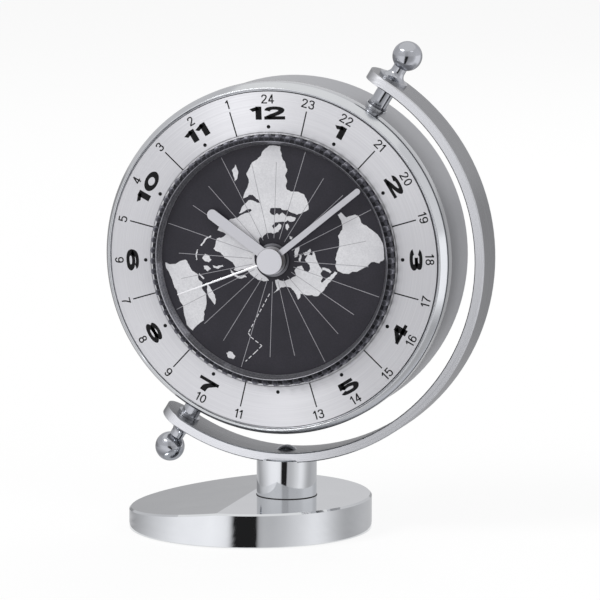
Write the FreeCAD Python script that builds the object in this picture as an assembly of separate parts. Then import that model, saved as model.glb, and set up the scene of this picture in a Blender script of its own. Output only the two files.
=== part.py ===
import FreeCAD
import Part
import math
import os

from FreeCAD import Vector

# World time clock: a shallow drum that turns on two pivots inside a C-shaped arm.
# The arm stands on a post, off the centre of a round base whose top falls away to one side.
# The origin is the centre of the pad under the base. +Z is up and the dial faces -Y.
# Pieces of the head are drawn about the dial's own axis, with x to the viewer's right, y up,
# z towards the viewer and z = 0 on the face of the dial ring, and are then set on the pivot line.

# Fits and clearances
running_gap = 0.05  # radial gap of a shaft in its bearing
seat_gap = 0.1  # gap round a piece that drops into a seat
end_float = 0.2  # endways gap beside a turning piece
overrun = 2.0  # how far a cutting tool runs past a face

# Base and pad
base_radius = 39.5
base_height = 11.3  # table to the level part of the top
base_fall = 4.7  # how much lower the top is at its far edge
base_chamfer = 0.6
pad_inset = 3.5  # from the base's edge to the pad's edge
pad_thickness = 1.2
pad_recess = 0.8

# Post and its two screws
post_offset = 12.2  # post axis from the base's centre
post_radius = 9.75
post_height = 11.7  # level top of the base to the underside of the arm
post_lip = 1.0  # height of the two lips beside the arm
post_chamfer = 0.4
base_screw_radius = 2.4
base_screw_socket_radius = 1.9
base_screw_head_radius = 4.5
base_screw_head_height = 3.0
base_screw_bite = 4.2  # length of screw in the post
arm_screw_radius = 2.0
arm_screw_head_radius = 3.4
arm_screw_head_height = 1.5
arm_screw_bite = 6.0

# Arm
arm_width = 15.7
arm_thickness = 3.2
arm_gap = 7.4  # case wall to the inside of the arm
arm_edge_break = 0.35
pivot_tilt = 31.4  # degrees, pivot line from the vertical

# Pivots
pin_radius = 1.5
pin_bite = 4.0  # length of pin in the finial's neck
pin_tail = 0.6  # length of pin past the clip
bush_radius = 2.5
bush_flange_radius = 3.6
bush_flange_thickness = 0.45
bush_tail = 3.0  # length of bush inside the case wall
washer_radius = 3.3
washer_thickness = 0.4
sleeve_radius = 2.9
sleeve_collar_radius = 3.7
sleeve_collar_thickness = 0.9
clip_radius = 3.0
clip_thickness = 0.5
clip_slot = 1.6  # width of the clip's mouth

# Finials
ball_radius = 4.8
ball_reach = 8.9  # arm's outer face to the ball's centre
foot_radius = 4.9
foot_rim = 0.7
neck_radius = 2.3

# Case and front rim
case_radius = 56.6
case_wall = 1.8
cover_room = 3.7  # back of the movement to the back cover
case_rear_chamfer = 0.5
pivot_depth = 16.4  # dial ring's face to the pivot line
groove_width = 0.6
groove_depth = 0.5
collar_wall = 0.8  # thin front collar that carries the rim
collar_length = 2.4
ledge_width = 2.2
ledge_thickness = 1.5
rim_proud = 0.1  # rim's edge beyond the case wall
rim_width = 2.5
rim_rise = 1.0  # rim's inner edge above the dial ring
rim_depth = 3.6
rim_bulge = 0.45  # how far the rim's face bows out of a plain cone

# Dial ring and carrier
dial_ring_width = 13.7
dial_ring_thickness = 1.0
carrier_depth = 6.5
carrier_wall = 1.5
carrier_clearance = 0.5  # carrier's pan to the overhang of the dial ring

# World disc and coin-edged ring. The map takes what the dial ring and the coin-edged ring leave.
disc_thickness = 1.2
disc_step_height = 0.5
disc_step_width = 2.2
disc_gap = 0.4  # coin-edged ring to the dial ring
disc_hub_wall = 1.6
coin_ring_width = 3.4
coin_ring_rise = 3.0
coin_crest_width = 0.95  # map's edge to the crest
coin_tooth_count = 72
coin_wall_lean = 0.45  # how far the teeth lean in from foot to crest
coin_tooth_depth = 1.1  # depth of the notches at the crest, nothing at the foot
coin_tooth_edge = 0.3  # how far the tooth's corners draw in
coin_tooth_shares = ((0, -0.32), (1, -0.14), (1, 0.14), (0, 0.32), (2, 0.5))  # radius, part of the pitch

# Movement housing
dial_turn = 2.2  # degrees, how far the dial and movement are turned in the case
housing_depth = 18.0
housing_wall = 1.5
housing_corner = 3.0
housing_split = 8.0  # depth of the front half's walls
bay_room = 0.45  # cell to the bay's long walls
bay_bottom_wall = 1.6
bay_top_wall = 1.3
bay_end_wall = 1.8
gear_room_drop = 9.7  # centre to the bay's top wall
bay_floor_gap = 0.3
pivot_hole_depth = 1.0
post_peg_radius = 1.3

# Pipes at the centre, from the outside in
pipe_outer_radius = 3.5
pipe_wall = 0.85
hour_pipe_wall = 0.85
arbor_radius = 0.5
set_arbor_radius = 1.0
collar_radius = 5.35
collar_thickness = 0.4
nut_flats = 11.0
nut_thickness = 1.6
nut_washer_radius = 7.0
nut_washer_thickness = 0.5

# Gears. Modules follow from the spacing of the arbors.
motion_arbor_offset = 10.4  # centre to the minute wheel, and from there to the setting pinion
third_arbor_offset = 10.2  # centre to the third wheel
fifth_arbor_offset = 8.4
rotor_arbor_offset = 6.3
minute_direction = 150.0  # degrees anticlockwise from 3 o'clock
set_direction = 120.0
third_direction = 60.0
fifth_direction = -20.0
rotor_direction = 20.0
wheel_thickness = 0.8
pinion_thickness = 1.4
first_layer_depth = 1.3
layer_step = 2.4
world_ring_depth = 3.2
world_ring_wall = 1.2
addendum_share = 0.85
dedendum_share = 1.25
tooth_root_share = 0.42
tooth_tip_share = 0.22
cannon_teeth = 10
minute_wheel_teeth = 30
hour_pinion_teeth = 8
hour_wheel_teeth = 32
world_pinion_teeth = 8
world_ring_teeth = 64
set_pinion_teeth = 10
small_pinion_teeth = 6
centre_wheel_teeth = 48
third_wheel_teeth = 45
second_wheel_teeth = 36
fifth_wheel_teeth = 30

# Plate, motor and board behind the gears
plate_thickness = 0.6
plate_floor_gap = 1.1  # bay's top wall to the plate
plate_top = 21.6
plate_left = -11.2
plate_coil_gap = 0.4
plate_post_inset = 1.8  # plate's edges to the posts that carry it
upper_post_drop = 7.1
left_post_gap = 3.0  # board's edge to the third post
left_post_drop = 1.6
clear_hole_radius = 1.2
magnet_radius = 2.6
magnet_length = 1.6
stator_gap = 0.4  # magnet to the stator
stator_thickness = 0.8
stator_left = 9.9
stator_leg = 3.0
stator_bottom = -5.0
stator_foot_top = 3.0
stator_top = 24.0
core_edge_gap = 2.5  # coil's core to the housing wall
core_thickness = 1.0
coil_radius = 3.2
coil_flange_radius = 3.5
coil_flange_thickness = 0.8
coil_bottom = 3.2
coil_top = 20.6
board_thickness = 1.2
board_width = 19.5
board_height = 8.0
board_side_gap = 1.5  # board's left edge to the housing wall
board_top_gap = 1.0
board_stand = 7.0  # front floor to the board
board_post_inset = 2.5
board_post_radius = 1.2
crystal_radius = 1.0
crystal_length = 6.0
crystal_inset = 3.0  # board's left edge to the can
crystal_drop = 1.5  # middle of the board to the can
chip_radius = 2.2
chip_height = 0.9
chip_inset = 6.0
chip_rise = 1.0

# Cell and contacts
cell_radius = 7.25
cell_length = 50.5
cell_nub_radius = 2.7
cell_nub_length = 1.3
cell_edge = 0.6
contact_thickness = 0.4
contact_reach = 0.55  # contact plates to the ends of the cell
contact_width = 8.0
contact_height = 11.0
spring_turn_radius = 3.0

# Setting knob
knob_radius = 5.5
knob_thickness = 3.2
knob_gap = 0.6  # housing to the knob
knob_flutes = 18
knob_flute_radius = 0.55
knob_chamfer = 0.5

# Back cover and its screws
cover_thickness = 1.5
cover_chamfer = 0.375
cover_lip = 0.7  # width of the case's seat for the cover
window_margin = 1.0  # edge of the movement to the window
window_corner = 5.0
boss_radius = 3.2
boss_length = 12.0
cover_screw_count = 4
cover_screw_radius = 1.1
cover_screw_head_radius = 2.2
cover_screw_head_height = 1.1
cover_screw_head_chamfer = 0.4
cover_screw_length = 6.0
boss_turn = 45.0  # degrees, first boss from the pivot line

# Hands
hour_angle = 307.3  # degrees clockwise from 12
minute_angle = 53.0
second_angle = 251.0
hour_tip_inside_map = 11.1
hour_hand_width = 3.5
hour_boss_radius = 4.5
minute_tip_past_map = 0.8
minute_hand_width = 1.9
minute_boss_radius = 3.9
second_tip_inside_map = 4.1
second_root_width = 1.2
second_tip_width = 0.6
second_boss_radius = 3.0
hand_thickness = 0.4
second_thickness = 0.2
hour_hand_level = 1.2
minute_hand_level = 3.3
second_hand_level = 4.1
cap_radius = 4.25
cap_thickness = 0.6
cap_edge = 0.15

# Levels, radii and places that follow from the sizes above
base_under = pad_thickness - pad_recess
case_depth = dial_ring_thickness + carrier_depth + housing_depth + cover_room + cover_thickness
arm_inner_radius = case_radius + arm_gap
arm_outer_radius = arm_inner_radius + arm_thickness
pivot_height = base_height + post_height + arm_outer_radius
case_inner = case_radius - case_wall
rim_outer_radius = case_radius + rim_proud
rim_inner_radius = rim_outer_radius - rim_width
carrier_back = -dial_ring_thickness - carrier_depth
carrier_radius = case_inner - 2 * seat_gap
dial_ring_inner = carrier_radius - dial_ring_width
coin_foot_radius = dial_ring_inner - disc_gap
map_radius = coin_foot_radius - coin_ring_width
pan_inner = dial_ring_inner + carrier_clearance
housing_front = carrier_back
inner_front = housing_front - housing_wall
housing_back = housing_front - housing_depth
inner_back = housing_back + housing_wall
split_level = inner_front - housing_split
bay_high = -gear_room_drop - bay_top_wall
bay_low = bay_high - 2 * (cell_radius + bay_room)
bay_end = cell_length / 2 + contact_reach + contact_thickness
half_width = bay_end + bay_end_wall
half_height = bay_bottom_wall - bay_low
room_right = half_width - housing_wall
room_top = half_height - housing_wall
cell_y = (bay_low + bay_high) / 2
cell_z = housing_back + bay_floor_gap + cell_radius
bay_floor = cell_z + cell_radius + bay_floor_gap
pipe_bore = pipe_outer_radius - pipe_wall
hour_pipe_radius = pipe_bore - running_gap
hour_pipe_bore = hour_pipe_radius - hour_pipe_wall
minute_pipe_radius = hour_pipe_bore - running_gap
floor_front = carrier_back + carrier_wall
nut_front = floor_front + nut_washer_thickness + nut_thickness
cover_face = -case_depth
cover_seat = cover_face + cover_thickness
head_axis = Vector(0, 0, 1)


# Drawing helpers
def cylinder(radius, low, high, x=0, y=0):
    """Cylinder about a line parallel to z."""
    return Part.makeCylinder(radius, high - low, Vector(x, y, low))


def ring(outer, inner, low, high, x=0, y=0):
    """Plain ring about a line parallel to z."""
    tool = cylinder(inner, low - overrun, high + overrun, x, y)
    return cylinder(outer, low, high, x, y).cut(tool)


def box(low, high):
    """Box between two corners."""
    return Part.makeBox(high[0] - low[0], high[1] - low[1], high[2] - low[2], Vector(*low))


def face_of(edges):
    """Flat face bounded by the edges."""
    return Part.Face(Part.Wire(edges))


def polygon(points):
    """Flat face with straight sides."""
    corners = [Vector(*p) for p in points]
    return Part.Face(Part.makePolygon(corners + corners[:1]))


def turned(points):
    """Solid turned about z from a closed outline of (radius, z) points."""
    outline = polygon([(r, 0, z) for r, z in points])
    return outline.revolve(Vector(0, 0, 0), head_axis, 360)


def rounded_plate(width, height, corner, low, high):
    """Plate with four round corners, centred on the z axis."""
    body = box((-width / 2, -height / 2, low), (width / 2, height / 2, high))
    upright = [e for e in body.Edges if e.BoundBox.ZLength > (high - low) / 2]
    return body.makeFillet(corner, upright)


def polar(distance, degrees):
    """Point at a distance and direction from the centre."""
    angle = math.radians(degrees)
    return distance * math.cos(angle), distance * math.sin(angle)


def place_head(shape):
    """Set a piece of the head on the pivot line, facing -Y."""
    placed = shape.copy()
    placed.rotate(Vector(0, 0, 0), Vector(1, 0, 0), 90)
    placed.translate(Vector(post_offset, -pivot_depth, pivot_height))
    return placed


def place_dial(shape):
    """Set a piece that is clocked with the dial and movement."""
    placed = shape.copy()
    placed.rotate(Vector(0, 0, 0), head_axis, dial_turn)
    return place_head(placed)


def place_pivot(shape, lower):
    """Set a piece drawn along z from the pivot centre on the upper or lower half of the line."""
    placed = shape.copy()
    placed.rotate(Vector(0, 0, 0), Vector(0, 1, 0), pivot_tilt + (180 if lower else 0))
    placed.translate(Vector(post_offset, 0, pivot_height))
    return placed


def save(name, shape):
    """Write one piece, without the seams that joining its features leaves."""
    shape.removeSplitter().exportStep("parts/" + name + ".step")


# Base, pad, post and their screws
def base_ellipse(radius, drop):
    """Outline of the base's sloping side at a radius from the axis, this far below the top."""
    slope = math.atan2(base_fall, base_radius)
    outline = Part.Ellipse(Vector(0, 0, 0), radius / math.cos(slope), radius).toShape()
    outline.rotate(Vector(0, 0, 0), Vector(0, 1, 0), -math.degrees(slope))
    outline.translate(Vector(0, 0, base_height - drop))
    return Part.Wire(outline)


def make_base():
    """Disc whose top is level on the right and falls away on the left, with one small chamfer."""
    reach = base_radius + overrun
    level = cylinder(base_radius, base_under, base_height)
    level = level.makeChamfer(base_chamfer, [e for e in level.Edges if e.BoundBox.ZMin > base_under])
    level = level.common(box((0, -reach, 0), (reach, reach, base_height + overrun)))
    half = box((-reach, -reach, base_under), (0, reach, base_height))
    column = cylinder(base_radius, base_under, base_height).common(half)
    above = box((-2 * reach, -reach, 0), (reach, reach, base_height))
    above.rotate(Vector(0, 0, 0), Vector(0, 1, 0), -math.degrees(math.atan2(base_fall, base_radius)))
    above.translate(Vector(0, 0, base_height - base_chamfer))
    column = column.cut(above)
    outlines = [base_ellipse(base_radius, base_chamfer), base_ellipse(base_radius - base_chamfer, 0)]
    bevel = Part.makeLoft(outlines, True, True).common(half)
    body = level.fuse([column, bevel]).removeSplitter()
    recess_radius = base_radius - pad_inset + seat_gap
    body = body.cut(cylinder(recess_radius, base_under - overrun, base_under + pad_recess))
    head_seat = base_under + pad_recess + base_screw_head_height + end_float
    body = body.cut(cylinder(base_screw_head_radius + seat_gap, base_under, head_seat, post_offset))
    return body.cut(cylinder(base_screw_radius, base_under, base_height + overrun, post_offset))


def make_base_screw():
    seat = base_under + pad_recess + base_screw_head_height + end_float
    head = cylinder(base_screw_head_radius, seat - base_screw_head_height, seat, post_offset)
    socket = cylinder(
        base_screw_socket_radius,
        seat - base_screw_head_height - overrun,
        seat - base_screw_head_height / 2,
        post_offset,
    )
    shank = cylinder(base_screw_radius, seat, base_height + base_screw_bite, post_offset)
    return head.fuse(shank).cut(socket)


def make_post():
    top = base_height + post_height + post_lip
    body = cylinder(post_radius, base_height, top)
    body = body.makeChamfer(post_chamfer, [e for e in body.Edges if e.BoundBox.ZMin > base_height])
    body.translate(Vector(post_offset, 0, 0))
    channel = Part.makeCylinder(
        arm_outer_radius,
        arm_width,
        Vector(post_offset, -arm_width / 2, pivot_height),
        Vector(0, 1, 0),
    )
    body = body.cut(channel)
    low_hole_top = base_height + base_screw_bite + end_float
    body = body.cut(cylinder(base_screw_radius, base_height - overrun, low_hole_top, post_offset))
    arm_under = base_height + post_height
    hole_bottom = arm_under - arm_screw_bite - end_float
    return body.cut(cylinder(arm_screw_radius, hole_bottom, top + overrun, post_offset))


def make_arm():
    """Flat band bent to half a circle, with a full round at each end about its pivot hole."""
    half = arm_width / 2
    outer = arm_outer_radius
    inner = arm_inner_radius
    nip = arm_edge_break
    outline = [
        (inner, -half + nip),
        (inner + nip, -half),
        (outer - nip, -half),
        (outer, -half + nip),
        (outer, half - nip),
        (outer - nip, half),
        (inner + nip, half),
        (inner, half - nip),
    ]
    band = polygon([(r, y, 0) for r, y in outline])
    band = band.revolve(Vector(0, 0, 0), Vector(0, 1, 0), 360)
    reach = outer + overrun
    side = box((0, -arm_width, -reach), (reach, arm_width, reach))
    ends = cylinder(half, -reach, reach)
    keep = side.fuse(ends)
    keep.rotate(Vector(0, 0, 0), Vector(0, 1, 0), pivot_tilt)
    arm = band.common(keep)
    holes = cylinder(pin_radius, -reach, reach)
    holes.rotate(Vector(0, 0, 0), Vector(0, 1, 0), pivot_tilt)
    arm = arm.cut(holes)
    arm = arm.cut(cylinder(arm_screw_radius, -reach, 0))
    arm.translate(Vector(post_offset, 0, pivot_height))
    return arm


def make_arm_screw():
    """Screw with a low domed head, down through the arm into the post."""
    seat = pivot_height - arm_inner_radius
    sphere_radius = (arm_screw_head_radius**2 + arm_screw_head_height**2) / (2 * arm_screw_head_height)
    crown = seat + arm_screw_head_height
    dome = Part.makeSphere(sphere_radius, Vector(post_offset, 0, crown - sphere_radius))
    head = dome.common(cylinder(sphere_radius, seat, crown + overrun, post_offset))
    inside_arm = Part.makeCylinder(
        arm_inner_radius,
        arm_width,
        Vector(post_offset, -arm_width / 2, pivot_height),
        Vector(0, 1, 0),
    )
    head = head.common(inside_arm)
    shank_end = base_height + post_height - arm_screw_bite
    return head.fuse(cylinder(arm_screw_radius, shank_end, seat, post_offset))


# Pivot hardware, drawn along z from the pivot centre outwards
def make_finial():
    """Foot, hollow flare, neck and ball, turned in one and seated on the arm's curve."""
    seat = arm_outer_radius
    centre = seat + ball_reach
    join = centre - math.sqrt(ball_radius**2 - neck_radius**2)
    foot_top = seat + foot_rim
    flare = min(foot_radius - neck_radius, join - foot_top)
    lean = flare * math.sqrt(0.5)
    mid = Vector(neck_radius + flare - lean, 0, foot_top + flare - lean)
    top = Vector(0, 0, centre + ball_radius)
    ball_mid = Vector(ball_radius, 0, centre)
    points = [
        Vector(0, 0, seat - foot_rim),
        Vector(foot_radius, 0, seat - foot_rim),
        Vector(foot_radius, 0, foot_top),
        Vector(neck_radius + flare, 0, foot_top),
        Vector(neck_radius, 0, foot_top + flare),
        Vector(neck_radius, 0, join),
    ]
    edges = [Part.makeLine(points[0], points[1]), Part.makeLine(points[1], points[2])]
    if foot_radius > neck_radius + flare:
        edges.append(Part.makeLine(points[2], points[3]))
    edges.append(Part.Arc(points[3], mid, points[4]).toShape())
    if join > foot_top + flare:
        edges.append(Part.makeLine(points[4], points[5]))
    edges.append(Part.Arc(points[5], ball_mid, top).toShape())
    edges.append(Part.makeLine(top, points[0]))
    body = face_of(edges).revolve(Vector(0, 0, 0), head_axis, 360)
    start = Vector(0, -arm_width / 2, 0)
    body = body.cut(Part.makeCylinder(arm_outer_radius, arm_width, start, Vector(0, 1, 0)))
    return body.cut(cylinder(pin_radius, 0, seat + pin_bite + end_float))


def washer_low():
    """Level of the friction washer's inner face."""
    return case_radius + bush_flange_thickness + seat_gap


def make_pivot_pin():
    clip_level = case_inner - bush_tail - seat_gap - clip_thickness
    return cylinder(pin_radius, clip_level - pin_tail, arm_outer_radius + pin_bite)


def make_sleeve():
    """Polished spacer between the case and the arm, with a collar at the arm's end."""
    low = washer_low() + washer_thickness
    high = math.sqrt(arm_inner_radius**2 - sleeve_collar_radius**2)
    body = cylinder(sleeve_radius, low, high)
    body = body.fuse(cylinder(sleeve_collar_radius, high - sleeve_collar_thickness, high))
    return body.cut(cylinder(pin_radius, low - overrun, high + overrun))


def make_friction_washer():
    low = washer_low()
    return ring(washer_radius, pin_radius, low, low + washer_thickness)


def make_clip():
    """Open spring clip on the pin's inner end."""
    high = case_inner - bush_tail - seat_gap
    body = ring(clip_radius, pin_radius, high - clip_thickness, high)
    mouth = box(
        (0, -clip_slot / 2, high - clip_thickness - overrun),
        (clip_radius + overrun, clip_slot / 2, high + overrun),
    )
    return body.cut(mouth)


def make_bush():
    """Flanged bearing in the case wall. The flange's underside follows the wall."""
    high = case_radius + bush_flange_thickness
    flange = cylinder(bush_flange_radius, case_inner, high)
    wall = Part.makeCylinder(case_radius, case_depth, Vector(0, -case_depth / 2, 0), Vector(0, 1, 0))
    tube = cylinder(bush_radius, case_inner - bush_tail, high)
    bore = cylinder(pin_radius + running_gap, 0, high + overrun)
    return flange.cut(wall).fuse(tube).cut(bore)


# Case, rim, dial ring and carrier
def make_case():
    collar_radius_here = case_inner + collar_wall
    front = -rim_depth
    groove_floor = case_radius - groove_depth
    seat_radius = case_inner + cover_lip
    ledge_inner = case_inner - ledge_width
    body = turned(
        [
            (case_inner, front + collar_length),
            (collar_radius_here, front + collar_length),
            (collar_radius_here, front),
            (groove_floor, front),
            (groove_floor, front - groove_width),
            (case_radius, front - groove_width),
            (case_radius, cover_face + case_rear_chamfer),
            (case_radius - case_rear_chamfer, cover_face),
            (seat_radius, cover_face),
            (seat_radius, cover_seat),
            (case_inner, cover_seat),
            (case_inner, carrier_back - ledge_thickness),
            (ledge_inner, carrier_back - ledge_thickness),
            (ledge_inner, carrier_back),
            (case_inner, carrier_back),
        ]
    )
    for x, y in boss_places():
        boss = cylinder(boss_radius, cover_seat, cover_seat + boss_length, x, y)
        hole = cylinder(
            cover_screw_radius,
            cover_seat - overrun,
            cover_seat + cover_screw_length,
            x,
            y,
        )
        body = body.fuse(boss.common(cylinder(case_radius - groove_depth, cover_face, 0))).cut(hole)
    body = place_head(body)
    reach = case_radius + overrun
    line = cylinder(bush_radius, -reach, reach)
    return body.cut(place_pivot(line, False))


def boss_places():
    """Centres of the bosses that take the cover's screws."""
    distance = case_inner - boss_radius + seat_gap
    first = 90 - pivot_tilt + boss_turn
    step = 360 / cover_screw_count
    return [polar(distance, first + k * step) for k in range(cover_screw_count)]


def make_rim():
    """Front rim: a bowed bevel from the dial's edge back to the side, stepped behind to fit the collar."""
    inner_top = Vector(rim_inner_radius, 0, rim_rise)
    outer_back = Vector(rim_outer_radius, 0, -rim_depth)
    run = Vector(rim_width, 0, -rim_depth - rim_rise)
    outward = Vector(-run.z, 0, run.x)
    outward.normalize()
    bow = (inner_top + outer_back) * 0.5 + outward * rim_bulge
    collar_fit = case_inner + collar_wall + running_gap
    step = collar_length - rim_depth + seat_gap
    corners = [
        outer_back,
        Vector(collar_fit, 0, -rim_depth),
        Vector(collar_fit, 0, step),
        Vector(case_inner - seat_gap, 0, step),
        Vector(case_inner - seat_gap, 0, 0),
        Vector(rim_inner_radius, 0, 0),
        inner_top,
    ]
    edges = [Part.Arc(inner_top, bow, outer_back).toShape()]
    edges += [Part.makeLine(a, b) for a, b in zip(corners, corners[1:])]
    return face_of(edges).revolve(Vector(0, 0, 0), head_axis, 360)


def make_dial_ring():
    return ring(carrier_radius, dial_ring_inner, -dial_ring_thickness, 0)


def make_carrier():
    """Moulded pan behind the dial: a floor for the movement, a wall, a flange and a skirt."""
    wall_outer = pan_inner + carrier_wall
    top = -dial_ring_thickness
    body = turned(
        [
            (pipe_outer_radius + seat_gap, carrier_back),
            (wall_outer, carrier_back),
            (wall_outer, top - carrier_wall),
            (carrier_radius - carrier_wall, top - carrier_wall),
            (carrier_radius - carrier_wall, carrier_back),
            (carrier_radius, carrier_back),
            (carrier_radius, top),
            (pan_inner, top),
            (pan_inner, floor_front),
            (pipe_outer_radius + seat_gap, floor_front),
        ]
    )
    x, y = polar(motion_arbor_offset, minute_direction)
    return body.cut(cylinder(2 * clear_hole_radius, carrier_back - overrun, floor_front + overrun, x, y))


# Gears
def tooth_points(teeth, radii, shares, pitch_radius, phase):
    """Outline with four corners to a tooth. radii and shares are those of its foot and its tip."""
    points = []
    arc = math.pi * pitch_radius / teeth
    for k in range(teeth):
        middle = phase + 2 * math.pi * k / teeth
        foot = shares[0] * arc / radii[0]
        tip = shares[1] * arc / radii[1]
        for radius, turn in ((radii[0], -foot), (radii[1], -tip), (radii[1], tip), (radii[0], foot)):
            angle = middle + turn
            points.append((radius * math.cos(angle), radius * math.sin(angle)))
    return points


def prism(points, low, high, x=0, y=0):
    """Straight-sided solid over an outline."""
    base = polygon([(px + x, py + y, low) for px, py in points])
    return base.extrude(Vector(0, 0, high - low))


def gear(teeth, module, layer, thickness, phase, place=(0, 0)):
    """Spur gear centred on a layer."""
    pitch_radius = module * teeth / 2
    radii = (pitch_radius - dedendum_share * module, pitch_radius + addendum_share * module)
    points = tooth_points(teeth, radii, (tooth_root_share, tooth_tip_share), pitch_radius, phase)
    return prism(points, layer - thickness / 2, layer + thickness / 2, *place)


def meshed(driver_teeth, driver_phase, direction, teeth):
    """Phase that puts a space of the follower over the driver's tooth, for outside gears."""
    toward = math.radians(direction)
    return toward + math.pi - driver_teeth / teeth * (driver_phase - toward) + math.pi / teeth


def layer_level(index):
    """Middle of a gear layer behind the front floor."""
    return inner_front - first_layer_depth - index * layer_step


def add_places(a, b):
    """Sum of two points."""
    return a[0] + b[0], a[1] + b[1]


minute_place = polar(motion_arbor_offset, minute_direction)
set_place = add_places(minute_place, polar(motion_arbor_offset, set_direction))
third_place = polar(third_arbor_offset, third_direction)
fifth_place = polar(fifth_arbor_offset, fifth_direction)
rotor_place = add_places(fifth_place, polar(rotor_arbor_offset, rotor_direction))
minute_module = 2 * motion_arbor_offset / (cannon_teeth + minute_wheel_teeth)
hour_module = 2 * motion_arbor_offset / (hour_pinion_teeth + hour_wheel_teeth)
world_module = 2 * motion_arbor_offset / (world_ring_teeth - world_pinion_teeth)
set_module = minute_module
third_module = 2 * third_arbor_offset / (small_pinion_teeth + third_wheel_teeth)
centre_module = 2 * third_arbor_offset / (small_pinion_teeth + centre_wheel_teeth)
second_module = 2 * fifth_arbor_offset / (small_pinion_teeth + second_wheel_teeth)
fifth_module = 2 * rotor_arbor_offset / (small_pinion_teeth + fifth_wheel_teeth)
hour_layer = layer_level(0)
minute_layer = layer_level(1)
centre_layer = layer_level(2)
third_layer = layer_level(3)
second_layer = layer_level(4)
fifth_layer = layer_level(5)
plate_front = third_layer - pinion_thickness / 2 - end_float
plate_back = plate_front - plate_thickness
core_right = room_right - core_edge_gap
plate_right = core_right - stator_leg / 2 - coil_flange_radius - plate_coil_gap
plate_bottom = plate_floor_gap - gear_room_drop
board_left = board_side_gap - room_right
board_right = board_left + board_width
board_top = room_top - board_top_gap
board_middle = board_top - board_height / 2
chip_place = (board_right - chip_inset, board_middle + chip_rise)
world_ring_back = -disc_thickness - world_ring_depth
arbor_front = inner_front + pivot_hole_depth - end_float
arbor_back = inner_back - pivot_hole_depth + end_float


def plate_post_places():
    """Centres of the posts that carry the middle plate."""
    right = plate_right - plate_post_inset
    low = (right, plate_bottom + plate_post_inset)
    high = (right, plate_top - upper_post_drop)
    left = (board_right + left_post_gap, plate_top - left_post_drop)
    return low, high, left


def arbor(low, high, place=(0, 0)):
    """Steel shaft of a wheel."""
    return cylinder(arbor_radius, low, high, *place)


def make_minute_wheel():
    """Wheel and hour pinion on the arbor that also carries the world pinion in front."""
    wheel = gear(
        minute_wheel_teeth,
        minute_module,
        minute_layer,
        wheel_thickness,
        meshed(cannon_teeth, 0, minute_direction, minute_wheel_teeth),
        minute_place,
    )
    pinion = gear(hour_pinion_teeth, hour_module, hour_layer, pinion_thickness, 0, minute_place)
    hub = cylinder(
        minute_module * 2,
        minute_layer,
        hour_layer,
        *minute_place,
    )
    shaft = arbor(arbor_back, -disc_thickness - 2 * end_float, minute_place)
    return wheel.fuse([pinion, hub, shaft])


def world_pinion_span():
    """Back and front of the world pinion, inside the disc's gear ring."""
    return world_ring_back + end_float, -disc_thickness - 2 * end_float


def make_world_pinion():
    low, high = world_pinion_span()
    body = gear(world_pinion_teeth, world_module, (low + high) / 2, high - low, 0, minute_place)
    return body.cut(cylinder(arbor_radius, low - overrun, high + overrun, *minute_place))


def make_hour_wheel():
    phase = meshed(hour_pinion_teeth, 0, minute_direction + 180, hour_wheel_teeth)
    wheel = gear(hour_wheel_teeth, hour_module, hour_layer, wheel_thickness, phase)
    pipe = cylinder(hour_pipe_radius, hour_layer - pinion_thickness / 2, hour_hand_level + hand_thickness)
    return wheel.fuse(pipe).cut(cylinder(hour_pipe_bore, inner_back, overrun + hour_hand_level))


def make_cannon_pinion():
    pinion = gear(cannon_teeth, minute_module, minute_layer, pinion_thickness, 0)
    back = centre_layer - pinion_thickness / 2
    pipe = cylinder(minute_pipe_radius, back, minute_hand_level + hand_thickness)
    bore = cylinder(arbor_radius + running_gap, inner_back, minute_hand_level + overrun)
    return pinion.fuse(pipe).cut(bore)


def make_set_pinion():
    """Setting arbor with its pinion, out through the back of the housing to the knob."""
    wheel_phase = meshed(cannon_teeth, 0, minute_direction, minute_wheel_teeth)
    phase = meshed(minute_wheel_teeth, wheel_phase, set_direction, set_pinion_teeth)
    pinion = gear(set_pinion_teeth, set_module, minute_layer, pinion_thickness, phase, set_place)
    end = housing_back - knob_gap - knob_thickness / 2
    return pinion.fuse([cylinder(set_arbor_radius, end, arbor_front, *set_place)])


def make_set_knob():
    """Fluted knob pressed on the setting arbor."""
    front = housing_back - knob_gap
    back = front - knob_thickness
    body = cylinder(knob_radius, back, front)
    body = body.makeChamfer(knob_chamfer, [e for e in body.Edges if e.BoundBox.ZMax < front])
    for k in range(knob_flutes):
        x, y = polar(knob_radius, 360 * k / knob_flutes)
        body = body.cut(cylinder(knob_flute_radius, back - overrun, front + overrun, x, y))
    body.translate(Vector(set_place[0], set_place[1], 0))
    return body.cut(cylinder(set_arbor_radius, back + knob_thickness / 2, front + overrun, *set_place))


def make_centre_wheel():
    """Wheel of the going train, free on the cannon pinion's pipe but for its slipping grip."""
    phase = meshed(small_pinion_teeth, 0, third_direction + 180, centre_wheel_teeth)
    wheel = gear(centre_wheel_teeth, centre_module, centre_layer, wheel_thickness, phase)
    hub = cylinder(
        minute_pipe_radius + hour_pipe_wall,
        centre_layer - pinion_thickness / 2,
        minute_layer - pinion_thickness / 2 - end_float,
    )
    bore = cylinder(minute_pipe_radius + running_gap, inner_back, 0)
    return wheel.fuse(hub).cut(bore)


def make_third_wheel():
    phase = meshed(small_pinion_teeth, 0, third_direction, third_wheel_teeth)
    wheel = gear(third_wheel_teeth, third_module, third_layer, wheel_thickness, phase, third_place)
    pinion = gear(small_pinion_teeth, centre_module, centre_layer, pinion_thickness, 0, third_place)
    return wheel.fuse([pinion, arbor(arbor_back, arbor_front, third_place)])


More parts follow.
